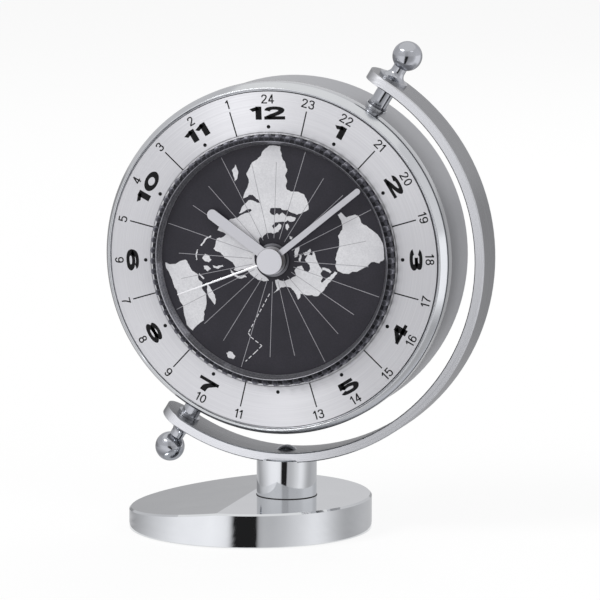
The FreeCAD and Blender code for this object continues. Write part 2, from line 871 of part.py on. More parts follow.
def make_second_wheel():
    """Wheel and pinion on the long centre arbor that carries the second hand."""
    phase = meshed(small_pinion_teeth, 0, fifth_direction + 180, second_wheel_teeth)
    wheel = gear(second_wheel_teeth, second_module, second_layer, wheel_thickness, phase)
    pinion = gear(small_pinion_teeth, third_module, third_layer, pinion_thickness, 0)
    top = second_hand_level + second_thickness + cap_thickness / 2
    return wheel.fuse([pinion, arbor(arbor_back, top)])


def make_fifth_wheel():
    phase = meshed(small_pinion_teeth, 0, rotor_direction + 180, fifth_wheel_teeth)
    wheel = gear(fifth_wheel_teeth, fifth_module, fifth_layer, wheel_thickness, phase, fifth_place)
    pinion = gear(small_pinion_teeth, second_module, second_layer, pinion_thickness, 0, fifth_place)
    return wheel.fuse([pinion, arbor(arbor_back, plate_front, fifth_place)])


def make_rotor():
    """Round magnet and pinion on the motor's arbor."""
    pinion = gear(small_pinion_teeth, fifth_module, fifth_layer, pinion_thickness, 0, rotor_place)
    magnet_front = plate_back - end_float
    magnet = cylinder(magnet_radius, magnet_front - magnet_length, magnet_front, *rotor_place)
    return pinion.fuse([magnet, arbor(arbor_back, plate_front, rotor_place)])


# World disc and coin-edged ring
def make_world_disc():
    """Disc with a stepped edge, a hub on the fixed pipe and a gear ring behind."""
    step = -disc_step_height
    bore = pipe_outer_radius + running_gap
    hub = bore + disc_hub_wall
    hub_back = nut_front + end_float
    pitch = world_module * world_ring_teeth / 2
    ring_outer = pitch + dedendum_share * world_module + world_ring_wall
    body = turned(
        [
            (bore, 0),
            (map_radius, 0),
            (map_radius, step),
            (map_radius + disc_step_width, step),
            (map_radius + disc_step_width, -disc_thickness),
            (hub, -disc_thickness),
            (hub, hub_back),
            (bore, hub_back),
        ]
    )
    wall = cylinder(ring_outer, world_ring_back, -disc_thickness)
    space = math.radians(minute_direction)
    space += world_pinion_teeth / world_ring_teeth * (0 - math.radians(minute_direction))
    radii = (pitch - addendum_share * world_module, pitch + dedendum_share * world_module)
    shares = (1 - tooth_tip_share, 1 - tooth_root_share)
    points = tooth_points(world_ring_teeth, radii, shares, pitch, space)
    return body.fuse(wall.cut(prism(points, world_ring_back - overrun, -disc_thickness)))


def make_coin_ring():
    """Coin-edged ring seated on the disc's step, toothed outside and smoothly bevelled inside."""
    pitch = 2 * math.pi / coin_tooth_count
    crest = coin_foot_radius - coin_wall_lean
    crest_radii = (crest - coin_tooth_edge, crest, crest - coin_tooth_depth)
    low = []
    high = []
    for k in range(coin_tooth_count):
        for kind, share in coin_tooth_shares:
            angle = (k + share) * pitch
            x, y = math.cos(angle), math.sin(angle)
            low.append(Vector(coin_foot_radius * x, coin_foot_radius * y, 0))
            high.append(Vector(crest_radii[kind] * x, crest_radii[kind] * y, coin_ring_rise))
    walls = Part.makeLoft([Part.makePolygon(low + low[:1]), Part.makePolygon(high + high[:1])], True, True)
    bevel = turned(
        [
            (0, -overrun),
            (map_radius, -overrun),
            (map_radius, 0),
            (map_radius + coin_crest_width, coin_ring_rise),
            (map_radius + coin_crest_width, coin_ring_rise + overrun),
            (0, coin_ring_rise + overrun),
        ]
    )
    foot = turned(
        [
            (map_radius, -disc_step_height),
            (map_radius + disc_step_width, -disc_step_height),
            (map_radius + disc_step_width, -disc_thickness),
            (coin_foot_radius, -disc_thickness),
            (coin_foot_radius, 0),
            (map_radius, 0),
        ]
    )
    return walls.cut(bevel).fuse(foot)


# Movement housing
def make_movement_front():
    """Front half: floor, centre pipe, walls round the gear room, and posts for plate and board."""
    body = rounded_plate(2 * half_width, 2 * half_height, housing_corner, inner_front, housing_front)
    shell = rounded_plate(2 * half_width, 2 * half_height, housing_corner, split_level, inner_front)
    inside = box(
        (-room_right, -half_height, split_level - overrun),
        (room_right, room_top, inner_front),
    )
    below = box(
        (-half_width, -half_height, split_level - overrun),
        (half_width, -gear_room_drop, inner_front),
    )
    body = body.fuse(shell.cut(inside).cut(below))
    body = body.fuse(cylinder(pipe_outer_radius, inner_front, collar_top()))
    for x, y in plate_post_places():
        body = body.fuse(cylinder(post_peg_radius, plate_front, inner_front, x, y))
    for x in (board_left + board_post_inset, board_right - board_post_inset):
        post = cylinder(board_post_radius, inner_front - board_stand, inner_front, x, board_middle)
        body = body.fuse(post)
    body = body.cut(cylinder(pipe_bore, inner_front - overrun, collar_top() + overrun))
    body = body.cut(
        cylinder(arbor_radius + running_gap, inner_front - overrun, housing_front + overrun, *minute_place)
    )
    hole_top = inner_front + pivot_hole_depth
    third_hole = cylinder(arbor_radius + running_gap, inner_front - overrun, hole_top, *third_place)
    set_hole = cylinder(set_arbor_radius + running_gap, inner_front - overrun, hole_top, *set_place)
    return body.cut([third_hole, set_hole])


def make_movement_back():
    """Rear half: floor, walls, and the trough that holds the cell, open to the back."""
    floor = rounded_plate(2 * half_width, 2 * half_height, housing_corner, housing_back, inner_back)
    shell = rounded_plate(2 * half_width, 2 * half_height, housing_corner, inner_back, split_level)
    inside = box(
        (-room_right, -half_height, inner_back),
        (room_right, room_top, split_level + overrun),
    )
    block = rounded_plate(2 * half_width, 2 * half_height, housing_corner, housing_back, inner_front)
    lower = box(
        (-half_width, -half_height, housing_back - overrun),
        (half_width, -gear_room_drop, inner_front + overrun),
    )
    trough = box((-bay_end, bay_low, housing_back - overrun), (bay_end, bay_high, bay_floor))
    body = floor.fuse([shell.cut(inside), block.common(lower)]).cut(trough)
    hole_low = inner_back - pivot_hole_depth
    for x, y in ((0, 0), minute_place, third_place, fifth_place, rotor_place):
        body = body.cut(cylinder(arbor_radius + running_gap, hole_low, inner_back + overrun, x, y))
    return body.cut(
        cylinder(set_arbor_radius + running_gap, housing_back - overrun, inner_back + overrun, *set_place)
    )


def collar_top():
    """Front end of the fixed pipe, level with its collar."""
    return end_float + collar_thickness


def make_disc_collar():
    """Collar on the fixed pipe that keeps the world disc on."""
    return ring(collar_radius, pipe_outer_radius, end_float, collar_top())


def make_nut():
    """Hexagon nut that holds the movement to the carrier."""
    corner = nut_flats / math.sqrt(3)
    points = [polar(corner, 60 * k) for k in range(6)]
    body = prism(points, nut_front - nut_thickness, nut_front)
    return body.cut(cylinder(pipe_outer_radius, floor_front, nut_front + overrun))


def make_nut_washer():
    return ring(nut_washer_radius, pipe_outer_radius, floor_front, floor_front + nut_washer_thickness)


def make_plate():
    """Middle plate that carries the front pivots of the motor train."""
    body = box((plate_left, plate_bottom, plate_back), (plate_right, plate_top, plate_front))
    for place in ((0, 0), third_place, minute_place):
        body = body.cut(cylinder(clear_hole_radius, plate_back - overrun, plate_front + overrun, *place))
    for place in (fifth_place, rotor_place):
        hole = cylinder(arbor_radius + running_gap, plate_back - overrun, plate_front + overrun, *place)
        body = body.cut(hole)
    return body


# Motor, board and cell
def make_stator():
    """Soft iron plate: two legs joined round the rotor."""
    back = plate_back - stator_thickness
    right = core_right
    foot = box((stator_left, stator_bottom, back), (right, stator_foot_top, plate_back))
    leg = box((stator_left, stator_bottom, back), (stator_left + stator_leg, stator_top, plate_back))
    head = box((stator_left, stator_top - stator_leg, back), (right, stator_top, plate_back))
    hole = cylinder(magnet_radius + stator_gap, back - overrun, plate_back + overrun, *rotor_place)
    return foot.fuse([leg, head]).cut(hole)


def core_span():
    """Back and front of the coil's core, behind the stator."""
    front = plate_back - stator_thickness
    return front - core_thickness, front


def make_core():
    low, high = core_span()
    return box((core_right - stator_leg, stator_bottom, low), (core_right, stator_top, high))


def make_coil():
    """Bobbin full of fine wire: a round winding between two flanges, on a square core."""
    low, high = core_span()
    x = core_right - stator_leg / 2
    z = (low + high) / 2
    up = Vector(0, 1, 0)
    body = Part.makeCylinder(coil_radius, coil_top - coil_bottom, Vector(x, coil_bottom, z), up)
    for y in (coil_bottom, coil_top - coil_flange_thickness):
        flange = Part.makeCylinder(coil_flange_radius, coil_flange_thickness, Vector(x, y, z), up)
        body = body.fuse(flange)
    core = box(
        (core_right - stator_leg, coil_bottom - overrun, low),
        (core_right, coil_top + overrun, high),
    )
    return body.cut(core)


def make_board():
    front = inner_front - board_stand
    low = (board_left, board_top - board_height, front - board_thickness)
    return box(low, (board_right, board_top, front))


def make_crystal():
    """Small can that lies on the back of the board."""
    back = inner_front - board_stand - board_thickness
    start = Vector(board_left + crystal_inset, board_middle - crystal_drop, back - crystal_radius)
    return Part.makeCylinder(crystal_radius, crystal_length, start, Vector(1, 0, 0))


def make_chip():
    """Potted chip: a low dome on the back of the board."""
    back = inner_front - board_stand - board_thickness
    sphere_radius = (chip_radius**2 + chip_height**2) / (2 * chip_height)
    centre = Vector(chip_place[0], chip_place[1], back - chip_height + sphere_radius)
    return Part.makeSphere(sphere_radius, centre).common(
        cylinder(sphere_radius, back - chip_height - overrun, back, *chip_place)
    )


def make_cell():
    """Dry cell lying across the bay, positive end to the right."""
    body_length = cell_length - cell_nub_length
    start = -cell_length / 2
    body = turned(
        [
            (0, start),
            (cell_radius - cell_edge, start),
            (cell_radius, start + cell_edge),
            (cell_radius, start + body_length - cell_edge),
            (cell_radius - cell_edge, start + body_length),
            (cell_nub_radius, start + body_length),
            (cell_nub_radius, start + cell_length),
            (0, start + cell_length),
        ]
    )
    body.rotate(Vector(0, 0, 0), Vector(0, 1, 0), 90)
    body.translate(Vector(0, cell_y, cell_z))
    return body


def contact_plate(side):
    """Plate against one end of the bay. side is +1 on the right and -1 on the left."""
    near = side * (bay_end - contact_thickness)
    far = side * bay_end
    low = (min(near, far), cell_y - contact_width / 2, cell_z - contact_height / 2)
    high = (max(near, far), cell_y + contact_width / 2, cell_z + contact_height / 2)
    return box(low, high)


def make_positive_contact():
    """Plate with a dimple that touches the cell's nub."""
    plate = contact_plate(1)
    start = Vector(cell_length / 2, cell_y, cell_z)
    dimple = Part.makeCylinder(cell_nub_radius / 2, contact_reach, start, Vector(1, 0, 0))
    return plate.fuse(dimple)


def make_negative_contact():
    """Plate with a short cone spring that touches the flat end of the cell."""
    plate = contact_plate(-1)
    start = Vector(contact_thickness - bay_end, cell_y, cell_z)
    cone = Part.makeCone(spring_turn_radius, spring_turn_radius / 2, contact_reach, start, Vector(1, 0, 0))
    return plate.fuse(cone)


# Back cover and screws
def make_cover():
    """Disc with a round-cornered window over the movement."""
    body = cylinder(case_inner + cover_lip - seat_gap, cover_face, cover_seat)
    edge = [e for e in body.Edges if e.BoundBox.ZMax < cover_face + seat_gap]
    body = body.makeChamfer(cover_chamfer, edge)
    for x, y in boss_places():
        hole = cylinder(cover_screw_radius, cover_face - overrun, cover_seat + overrun, x, y)
        body = body.cut(hole)
    width = 2 * (half_width - window_margin)
    height = 2 * (half_height - window_margin)
    window = rounded_plate(width, height, window_corner, cover_face - overrun, cover_seat + overrun)
    window.rotate(Vector(0, 0, 0), head_axis, dial_turn)
    return body.cut(window)


def make_cover_screws():
    screws = []
    for x, y in boss_places():
        head = cylinder(
            cover_screw_head_radius, cover_face - cover_screw_head_height, cover_face, x, y
        )
        back_edge = [e for e in head.Edges if e.BoundBox.ZMax < cover_face - seat_gap]
        head = head.makeChamfer(cover_screw_head_chamfer, back_edge)
        shank = cylinder(
            cover_screw_radius, cover_face, cover_seat + cover_screw_length - end_float, x, y
        )
        screws.append(head.fuse(shank).removeSplitter())
    return Part.makeCompound(screws)


# Hands, drawn pointing along x
def aim(shape, clockwise):
    """Turn a hand from 3 o'clock to its place on the dial."""
    shape.rotate(Vector(0, 0, 0), head_axis, 90 - clockwise)
    return shape


def make_hour_hand():
    """Broad baton with a round tip."""
    low = hour_hand_level
    high = low + hand_thickness
    half = hour_hand_width / 2
    straight = map_radius - hour_tip_inside_map - half
    blade = box((0, -half, low), (straight, half, high)).fuse(cylinder(half, low, high, straight))
    body = blade.fuse(cylinder(hour_boss_radius, low, high))
    body = body.cut(cylinder(hour_pipe_radius, low - overrun, high + overrun))
    return aim(body, hour_angle)


def make_minute_hand():
    """Narrow baton with a round tip, nearly as long as the map."""
    low = minute_hand_level
    high = low + hand_thickness
    half = minute_hand_width / 2
    straight = map_radius + minute_tip_past_map - half
    blade = box((0, -half, low), (straight, half, high)).fuse(cylinder(half, low, high, straight))
    body = blade.fuse(cylinder(minute_boss_radius, low, high))
    body = body.cut(cylinder(minute_pipe_radius, low - overrun, high + overrun))
    return aim(body, minute_angle)


def make_second_hand():
    """Needle that tapers to its tip."""
    low = second_hand_level
    high = low + second_thickness
    root = second_root_width / 2
    tip = second_tip_width / 2
    length = map_radius - second_tip_inside_map
    outline = [(0, -root), (length, -tip), (length, tip), (0, root)]
    body = prism(outline, low, high).fuse(cylinder(second_boss_radius, low, high))
    body = body.cut(cylinder(arbor_radius, low - overrun, high + overrun))
    return aim(body, second_angle)


def make_hub_cap():
    """Flat round cap pressed on the second arbor."""
    low = second_hand_level + second_thickness
    high = low + cap_thickness
    body = cylinder(cap_radius, low, high)
    body = body.makeChamfer(cap_edge, [e for e in body.Edges if e.BoundBox.ZMin > low])
    return body.cut(cylinder(arbor_radius, low - overrun, low + cap_thickness / 2))


STAND_PIECES = {
    "base_pad": lambda: cylinder(base_radius - pad_inset, 0, pad_thickness),
    "base": make_base,
    "base_screw": make_base_screw,
    "post": make_post,
    "arm": make_arm,
    "arm_screw": make_arm_screw,
}
PIVOT_PIECES = {
    "finial": make_finial,
    "pivot_pin": make_pivot_pin,
    "sleeve": make_sleeve,
    "friction_washer": make_friction_washer,
    "retaining_clip": make_clip,
    "bush": make_bush,
}
CASE_PIECES = {
    "front_rim": make_rim,
    "back_cover": make_cover,
    "cover_screws": make_cover_screws,
}
DIAL_PIECES = {
    "dial_ring": make_dial_ring,
    "dial_carrier": make_carrier,
    "nut": make_nut,
    "nut_washer": make_nut_washer,
    "disc_collar": make_disc_collar,
    "movement_front": make_movement_front,
    "movement_back": make_movement_back,
    "middle_plate": make_plate,
    "stator": make_stator,
    "coil_core": make_core,
    "coil": make_coil,
    "circuit_board": make_board,
    "quartz_crystal": make_crystal,
    "chip": make_chip,
    "battery": make_cell,
    "positive_contact": make_positive_contact,
    "negative_contact": make_negative_contact,
    "world_disc": make_world_disc,
    "coin_ring": make_coin_ring,
    "minute_wheel": make_minute_wheel,
    "world_pinion": make_world_pinion,
    "hour_wheel": make_hour_wheel,
    "hour_hand": make_hour_hand,
    "cannon_pinion": make_cannon_pinion,
    "minute_hand": make_minute_hand,
    "setting_pinion": make_set_pinion,
    "setting_knob": make_set_knob,
    "centre_wheel": make_centre_wheel,
    "third_wheel": make_third_wheel,
    "second_wheel": make_second_wheel,
    "second_hand": make_second_hand,
    "hub_cap": make_hub_cap,
    "fifth_wheel": make_fifth_wheel,
    "rotor": make_rotor,
}

os.makedirs("parts", exist_ok=True)
for name, make in STAND_PIECES.items():
    save(name, make())
for name, make in PIVOT_PIECES.items():
    piece = make()
    save("upper_" + name, place_pivot(piece, False))
    save("lower_" + name, place_pivot(piece, True))
save("case", make_case())
for name, make in CASE_PIECES.items():
    save(name, place_head(make()))
for name, make in DIAL_PIECES.items():
    save(name, place_dial(make()))
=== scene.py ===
import math

import bpy
import numpy as np
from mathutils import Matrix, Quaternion, Vector


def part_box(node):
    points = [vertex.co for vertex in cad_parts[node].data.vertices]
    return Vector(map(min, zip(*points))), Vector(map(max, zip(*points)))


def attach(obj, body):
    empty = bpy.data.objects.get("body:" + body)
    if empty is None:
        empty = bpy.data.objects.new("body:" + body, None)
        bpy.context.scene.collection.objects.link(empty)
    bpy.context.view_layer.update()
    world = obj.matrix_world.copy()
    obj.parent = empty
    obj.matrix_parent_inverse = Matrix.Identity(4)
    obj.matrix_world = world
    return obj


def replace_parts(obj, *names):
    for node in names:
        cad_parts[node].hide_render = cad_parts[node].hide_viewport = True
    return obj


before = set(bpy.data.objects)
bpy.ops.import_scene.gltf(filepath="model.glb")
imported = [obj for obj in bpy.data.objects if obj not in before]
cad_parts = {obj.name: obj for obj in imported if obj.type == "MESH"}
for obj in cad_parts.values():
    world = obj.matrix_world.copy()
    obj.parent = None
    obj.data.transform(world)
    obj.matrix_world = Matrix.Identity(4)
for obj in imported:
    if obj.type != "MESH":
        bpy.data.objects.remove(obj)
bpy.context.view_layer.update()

# World time clock on a round base. Sizes are in millimetres and become metres once, in MM.
MM = 0.001

# Dial's axis and face, and the map's height over that face, read from the pieces that carry them
coin_low, coin_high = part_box("coin_ring")
DIAL_X = (coin_low[0] + coin_high[0]) / 2
DIAL_Z = (coin_low[2] + coin_high[2]) / 2
DIAL_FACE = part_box("dial_ring")[0][1]
MAP_LEVEL = (DIAL_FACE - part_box("world_disc")[0][1]) / MM
DIAL_TURN = math.radians(2.2)  # anticlockwise
INK = 0.03  # height of printed numbers and lines
SILVER_INK = 0.02  # height of the land and the date line

# Camera: the photograph's view, from a little to the right and a little above
AIM = np.array([18.9, 0.0, 75.3]) * MM
CAMERA_RANGE = 1.561  # metres
CAMERA_AROUND = math.radians(15.54)
CAMERA_ABOVE = math.radians(8.085)
CAMERA_ROLL = math.radians(0.16)
SENSOR, FOCAL = 36, 290.2
SIDE_SHIFT = -0.0118


def linear(hex_colour):
    """sRGB hex to linear RGBA: the sRGB curve undone channel by channel."""
    c = np.array([int(hex_colour[i:i + 2], 16) for i in (1, 3, 5)]) / 255
    c = np.where(c <= 0.04045, c / 12.92, ((c + 0.055) / 1.055) ** 2.4)
    return (*c.tolist(), 1.0)


def add(tree, kind, inputs=None, **settings):
    """Adds one node, sets its settings, and links or fills its inputs."""
    node = tree.nodes.new(kind)
    for key, value in settings.items():
        setattr(node, key, value)
    for key, value in (inputs or {}).items():
        if isinstance(value, bpy.types.NodeSocket):
            tree.links.new(value, node.inputs[key])
        else:
            node.inputs[key].default_value = value
    return node


def new_finish(name):
    """Empty material with its output, ready for nodes."""
    made = bpy.data.materials.new(name)
    made.use_nodes = True
    made.node_tree.nodes.clear()
    return made, made.node_tree, add(made.node_tree, "ShaderNodeOutputMaterial")


def walls_darker(tree, tone, share):
    """Painted shade: the tone times share on walls round the dial's axis, and the plain tone on faces square to it.

    The surface's own normal tells them apart: its part along the axis is under 0.5 on a wall and over 0.9 on a face.
    """
    normal = add(tree, "ShaderNodeTexCoord").outputs["Normal"]
    along = add(tree, "ShaderNodeSeparateXYZ", {0: normal}).outputs["Y"]
    along = add(tree, "ShaderNodeMath", {0: along}, operation="ABSOLUTE").outputs[0]
    wall = add(tree, "ShaderNodeMapRange", {"Value": along, "From Min": 0.9, "From Max": 0.5}).outputs[0]
    return add(tree, "ShaderNodeMix", {"Factor": wall, "A": tone, "B": (share, share, share, 1)},
               data_type="RGBA", blend_type="MULTIPLY").outputs["Result"]


def brushed_round(name, light, dark, metallic, rough, line_mm, depth_mm, sheen_turn=0.0, wall=1.0):
    """Metal whose brush lines run round the dial's axis, as a lathe or a turning belt leaves them.

    Streaks are noise over (distance from the axis + depth along it), almost constant round the turn,
    so each line is a ring. Light and dark are the tones between lines, and highlights are drawn out across the lines.
    """
    made, tree, out = new_finish(name)
    place = add(tree, "ShaderNodeTexCoord").outputs["Object"]
    about = add(tree, "ShaderNodeVectorMath", {0: place, 1: (DIAL_X, DIAL_FACE, DIAL_Z)}, operation="SUBTRACT")
    part = add(tree, "ShaderNodeSeparateXYZ", {0: about.outputs[0]}).outputs
    flat = add(tree, "ShaderNodeCombineXYZ", {"X": part["X"], "Z": part["Z"]}).outputs[0]
    reach = add(tree, "ShaderNodeVectorMath", {0: flat}, operation="LENGTH").outputs["Value"]
    way = add(tree, "ShaderNodeVectorMath", {0: flat}, operation="NORMALIZE").outputs[0]
    across = add(tree, "ShaderNodeMath", {0: reach, 1: part["Y"]}, operation="ADD").outputs[0]
    lines = add(tree, "ShaderNodeMath", {0: across, 1: 1 / (line_mm * MM)}, operation="MULTIPLY").outputs[0]
    turn = add(tree, "ShaderNodeSeparateXYZ", {0: way}).outputs
    ring = add(tree, "ShaderNodeCombineXYZ", {"X": lines, "Y": turn["X"], "Z": turn["Z"]}).outputs[0]
    streak = add(tree, "ShaderNodeTexNoise", {"Vector": ring, "Scale": 1.0, "Detail": 3.0, "Roughness": 0.6})
    streak = streak.outputs["Fac"]
    cloud = add(tree, "ShaderNodeTexNoise", {"Vector": place, "Scale": 45.0, "Detail": 2.0}).outputs["Fac"]
    tone = add(tree, "ShaderNodeMix", {"Factor": streak, "A": linear(dark), "B": linear(light)}, data_type="RGBA")
    tone = tone.outputs["Result"]
    # Walls round the dial's axis painted darker by wall: painted shade
    tone = walls_darker(tree, tone, wall) if wall < 1 else tone
    gloss = add(tree, "ShaderNodeMapRange", {
        "Value": streak, "From Min": 0.25, "From Max": 0.75, "To Min": rough - 0.05, "To Max": rough + 0.06}).outputs[0]
    gloss = add(tree, "ShaderNodeMath", {0: cloud, 1: 0.06, 2: gloss}, operation="MULTIPLY_ADD").outputs[0]
    bump = add(tree, "ShaderNodeBump", {"Height": streak, "Strength": 0.35, "Distance": depth_mm * MM}).outputs[0]
    side = add(tree, "ShaderNodeVectorMath", {0: way, 1: (0.0, 1.0, 0.0)}, operation="CROSS_PRODUCT").outputs[0]
    normal = add(tree, "ShaderNodeTexCoord").outputs["Normal"]
    side = add(tree, "ShaderNodeVectorMath", {0: normal, 1: side}, operation="CROSS_PRODUCT").outputs[0]
    side = add(tree, "ShaderNodeVectorTransform", {0: side},
               vector_type="VECTOR", convert_from="OBJECT", convert_to="WORLD").outputs[0]
    skin = add(tree, "ShaderNodeBsdfPrincipled", {
        "Base Color": tone, "Metallic": metallic, "Roughness": gloss, "Normal": bump, "Anisotropic": sheen_turn,
        "Tangent": side})
    tree.links.new(skin.outputs[0], out.inputs[0])
    return made


def polished(name, bright, dull, rough, haze_mm, wall=1.0):
    """Polished or plated metal: nearly a mirror, with faint cloudy haze and hairlines of haze_mm."""
    made, tree, out = new_finish(name)
    place = add(tree, "ShaderNodeTexCoord").outputs["Object"]
    cloud = add(tree, "ShaderNodeTexNoise", {"Vector": place, "Scale": 1 / (12 * MM), "Detail": 3.0}).outputs["Fac"]
    hair = add(tree, "ShaderNodeTexNoise", {"Vector": place, "Scale": 1 / (haze_mm * MM), "Detail": 2.0})
    tone = add(tree, "ShaderNodeMix", {"Factor": cloud, "A": linear(dull), "B": linear(bright)}, data_type="RGBA")
    tone = tone.outputs["Result"]
    # Walls round the dial's axis painted darker by wall: painted shade
    tone = walls_darker(tree, tone, wall) if wall < 1 else tone
    gloss = add(tree, "ShaderNodeMapRange", {"Value": cloud, "To Min": rough * 0.6, "To Max": rough * 1.5}).outputs[0]
    bump = add(tree, "ShaderNodeBump", {"Height": hair.outputs["Fac"], "Strength": 0.04, "Distance": 0.01 * MM})
    skin = add(tree, "ShaderNodeBsdfPrincipled", {
        "Base Color": tone, "Metallic": 1.0, "Roughness": gloss, "Normal": bump.outputs[0]})
    tree.links.new(skin.outputs[0], out.inputs[0])
    return made


def moulded(name, colour, shade, rough, grain_mm, bump_mm=0.02, metallic=0.0, strength=0.3, gleam=0.5):
    """Moulded, printed, cast or pressed surface: fine grain of grain_mm and slow drift of tone."""
    made, tree, out = new_finish(name)
    place = add(tree, "ShaderNodeTexCoord").outputs["Object"]
    cloud = add(tree, "ShaderNodeTexNoise", {"Vector": place, "Scale": 1 / (9 * MM), "Detail": 3.0}).outputs["Fac"]
    grain = add(tree, "ShaderNodeTexNoise", {"Vector": place, "Scale": 1 / (grain_mm * MM), "Detail": 2.0})
    grain = grain.outputs["Fac"]
    blend = add(tree, "ShaderNodeMath", {0: cloud, 1: grain}, operation="MULTIPLY").outputs[0]
    blend = add(tree, "ShaderNodeMapRange", {"Value": blend, "From Min": 0.1, "From Max": 0.4}).outputs[0]
    tone = add(tree, "ShaderNodeMix", {"Factor": blend, "A": linear(shade), "B": linear(colour)}, data_type="RGBA")
    gloss = add(tree, "ShaderNodeMapRange", {"Value": grain, "To Min": rough - 0.05, "To Max": rough + 0.05}).outputs[0]
    bump = add(tree, "ShaderNodeBump", {"Height": grain, "Strength": strength, "Distance": bump_mm * MM}).outputs[0]
    skin = add(tree, "ShaderNodeBsdfPrincipled", {
        "Base Color": tone.outputs["Result"], "Metallic": metallic, "Roughness": gloss, "Normal": bump,
        "Specular IOR Level": gleam})
    tree.links.new(skin.outputs[0], out.inputs[0])
    return made


# Chromium plate over polished brass: a clean mirror, slightly blue-grey
chrome = polished("chromium_plate_polished", "#dcdee0", "#cfd1d4", 0.05, 0.6)
# Rim: the same plate over a brushed bow, so its reflections are soft
rim_chrome = polished("chromium_plate_soft", "#d6d8da", "#c8cacd", 0.12, 0.4)
# Finials and sleeves: bright nickel, a darker mirror than the chrome
bright_nickel = polished("nickel_plate_polished", "#b9bbc0", "#a3a5aa", 0.1, 0.5)
# Turned and polished steel screws and pins: darker than chrome, a little hazy
screw_steel = polished("steel_turned_polished", "#b9bbbf", "#9a9ca0", 0.18, 0.4)
# Case: satin stainless drum, belt-brushed round the turn, with soft broad highlights; its walls painted darker (0.8) as
# painted shade
satin_steel = brushed_round("stainless_steel_satin", "#d4d5d8", "#b4b5b9", 1.0, 0.30, 0.35, 0.01, 0.35, 0.8)
# Arm: bright edges, and duller faces round the dial's axis painted darker (0.42) as painted shade
arm_steel = brushed_round("stainless_steel_walls_painted_dark", "#e6e7ea", "#cbccd0", 1.0, 0.26, 0.35, 0.01, 0.35, 0.42)
# Dial: aluminium brushed in circles and lacquered: fan-shaped glints that turn with the light
dial_silver = brushed_round("aluminium_circular_brushed", "#e2e2e5", "#c2c2c6", 0.75, 0.33, 0.32, 0.012, 0.88)
# Collar round the hands' pipes: turned steel, darker rings
collar_steel = brushed_round("steel_turned_rings", "#96969b", "#4c4c51", 1.0, 0.3, 0.4, 0.02, 0.2)
# Back cover: spun aluminium, coarser rings
cover_silver = brushed_round("aluminium_spun", "#c9cacc", "#adaeb1", 1.0, 0.34, 0.6, 0.015, 0.45)
# Second hand: bright turned aluminium, the whitest of the hands
hand_silver = polished("aluminium_bright_turned", "#f0f0f2", "#e2e2e5", 0.28, 0.35)
# Cap: finely turned aluminium, a little greyer, with its wall painted dark (0.16) as painted shade
cap_satin = polished("aluminium_fine_satin", "#d8d8dc", "#c6c6cb", 0.34, 0.4, 0.16)
# Hour and minute hand: a greyer blasted satin of the same metal, with walls painted dark (0.3) as painted shade
hand_satin = polished("aluminium_blasted_satin", "#cfcfd3", "#bcbcc1", 0.36, 0.3, 0.3)
# Map: satin black screen print over metal
map_black = moulded("screen_print_black_satin", "#2b2931", "#222128", 0.5, 0.5, 0.006, gleam=0.25)
# Land: silver ink, matt with a metallic fleck
land_silver = moulded("screen_print_silver", "#d3d3d6", "#bebec2", 0.45, 0.45, 0.01, 0.25)
# Zone lines: grey ink, quieter than the land
line_grey = moulded("screen_print_grey", "#99989e", "#828187", 0.5, 0.5, 0.005)
# Numbers: black pad-print ink, slightly glossy
ink_black = moulded("pad_print_black", "#121214", "#0a0a0c", 0.5, 0.3, 0.006, gleam=0.15)
# Marks on the movement: white pad-print ink, flat and opaque
mark_white = moulded("pad_print_white", "#e4e4e0", "#d0d0cb", 0.5, 0.3, 0.006)
# Pad: pressed wool felt, rough and quite dark
felt = moulded("wool_felt_pressed", "#2a2a2c", "#111112", 0.95, 0.6, 0.2, 0.0, 0.9)
# Friction washers: blued spring steel, a soft dark gleam
spring_steel = polished("spring_steel_blued", "#8a8c92", "#6f7076", 0.3, 0.5)
# Carrier and movement: black moulded plastic with a fine spark-eroded grain
black_abs = moulded("abs_black_moulded", "#1f1f21", "#141416", 0.5, 0.7, 0.03)
# Middle plate and wheels: white and natural moulded plastic, smooth and milky
white_acetal = moulded("acetal_white_moulded", "#e6e4dc", "#d6d3c8", 0.4, 0.6, 0.02)
gear_acetal = moulded("acetal_natural_moulded", "#ddd6bd", "#c9c0a2", 0.38, 0.5, 0.02)
# Nut and pinions: turned brass, warm and bright
brass = polished("brass_turned", "#d3b06a", "#b8924c", 0.22, 0.4)
# Circuit board: lacquered glass and epoxy, glossy green
board_green = moulded("glass_epoxy_lacquered", "#1f6b3a", "#124a26", 0.3, 0.9, 0.02)
# Coil: enamelled copper wire, fine ridges with a metal glow
copper = moulded("copper_wire_enamelled", "#c2703d", "#8c4420", 0.28, 0.25, 0.08, 1.0, 0.8)
# Stator and coil core: rolled soft iron, dull grey
soft_iron = moulded("soft_iron_rolled", "#8b8c8f", "#6e6f72", 0.4, 0.4, 0.02, 1.0)
# Crystal's can and contacts: nickel plate, slightly warm
nickel = polished("nickel_plate", "#d2cfc4", "#b7b4a8", 0.2, 0.5)
# Rotor's magnet: sintered ferrite, dark and matt
magnet = moulded("ferrite_sintered", "#3a3a3c", "#262628", 0.6, 0.3, 0.03)


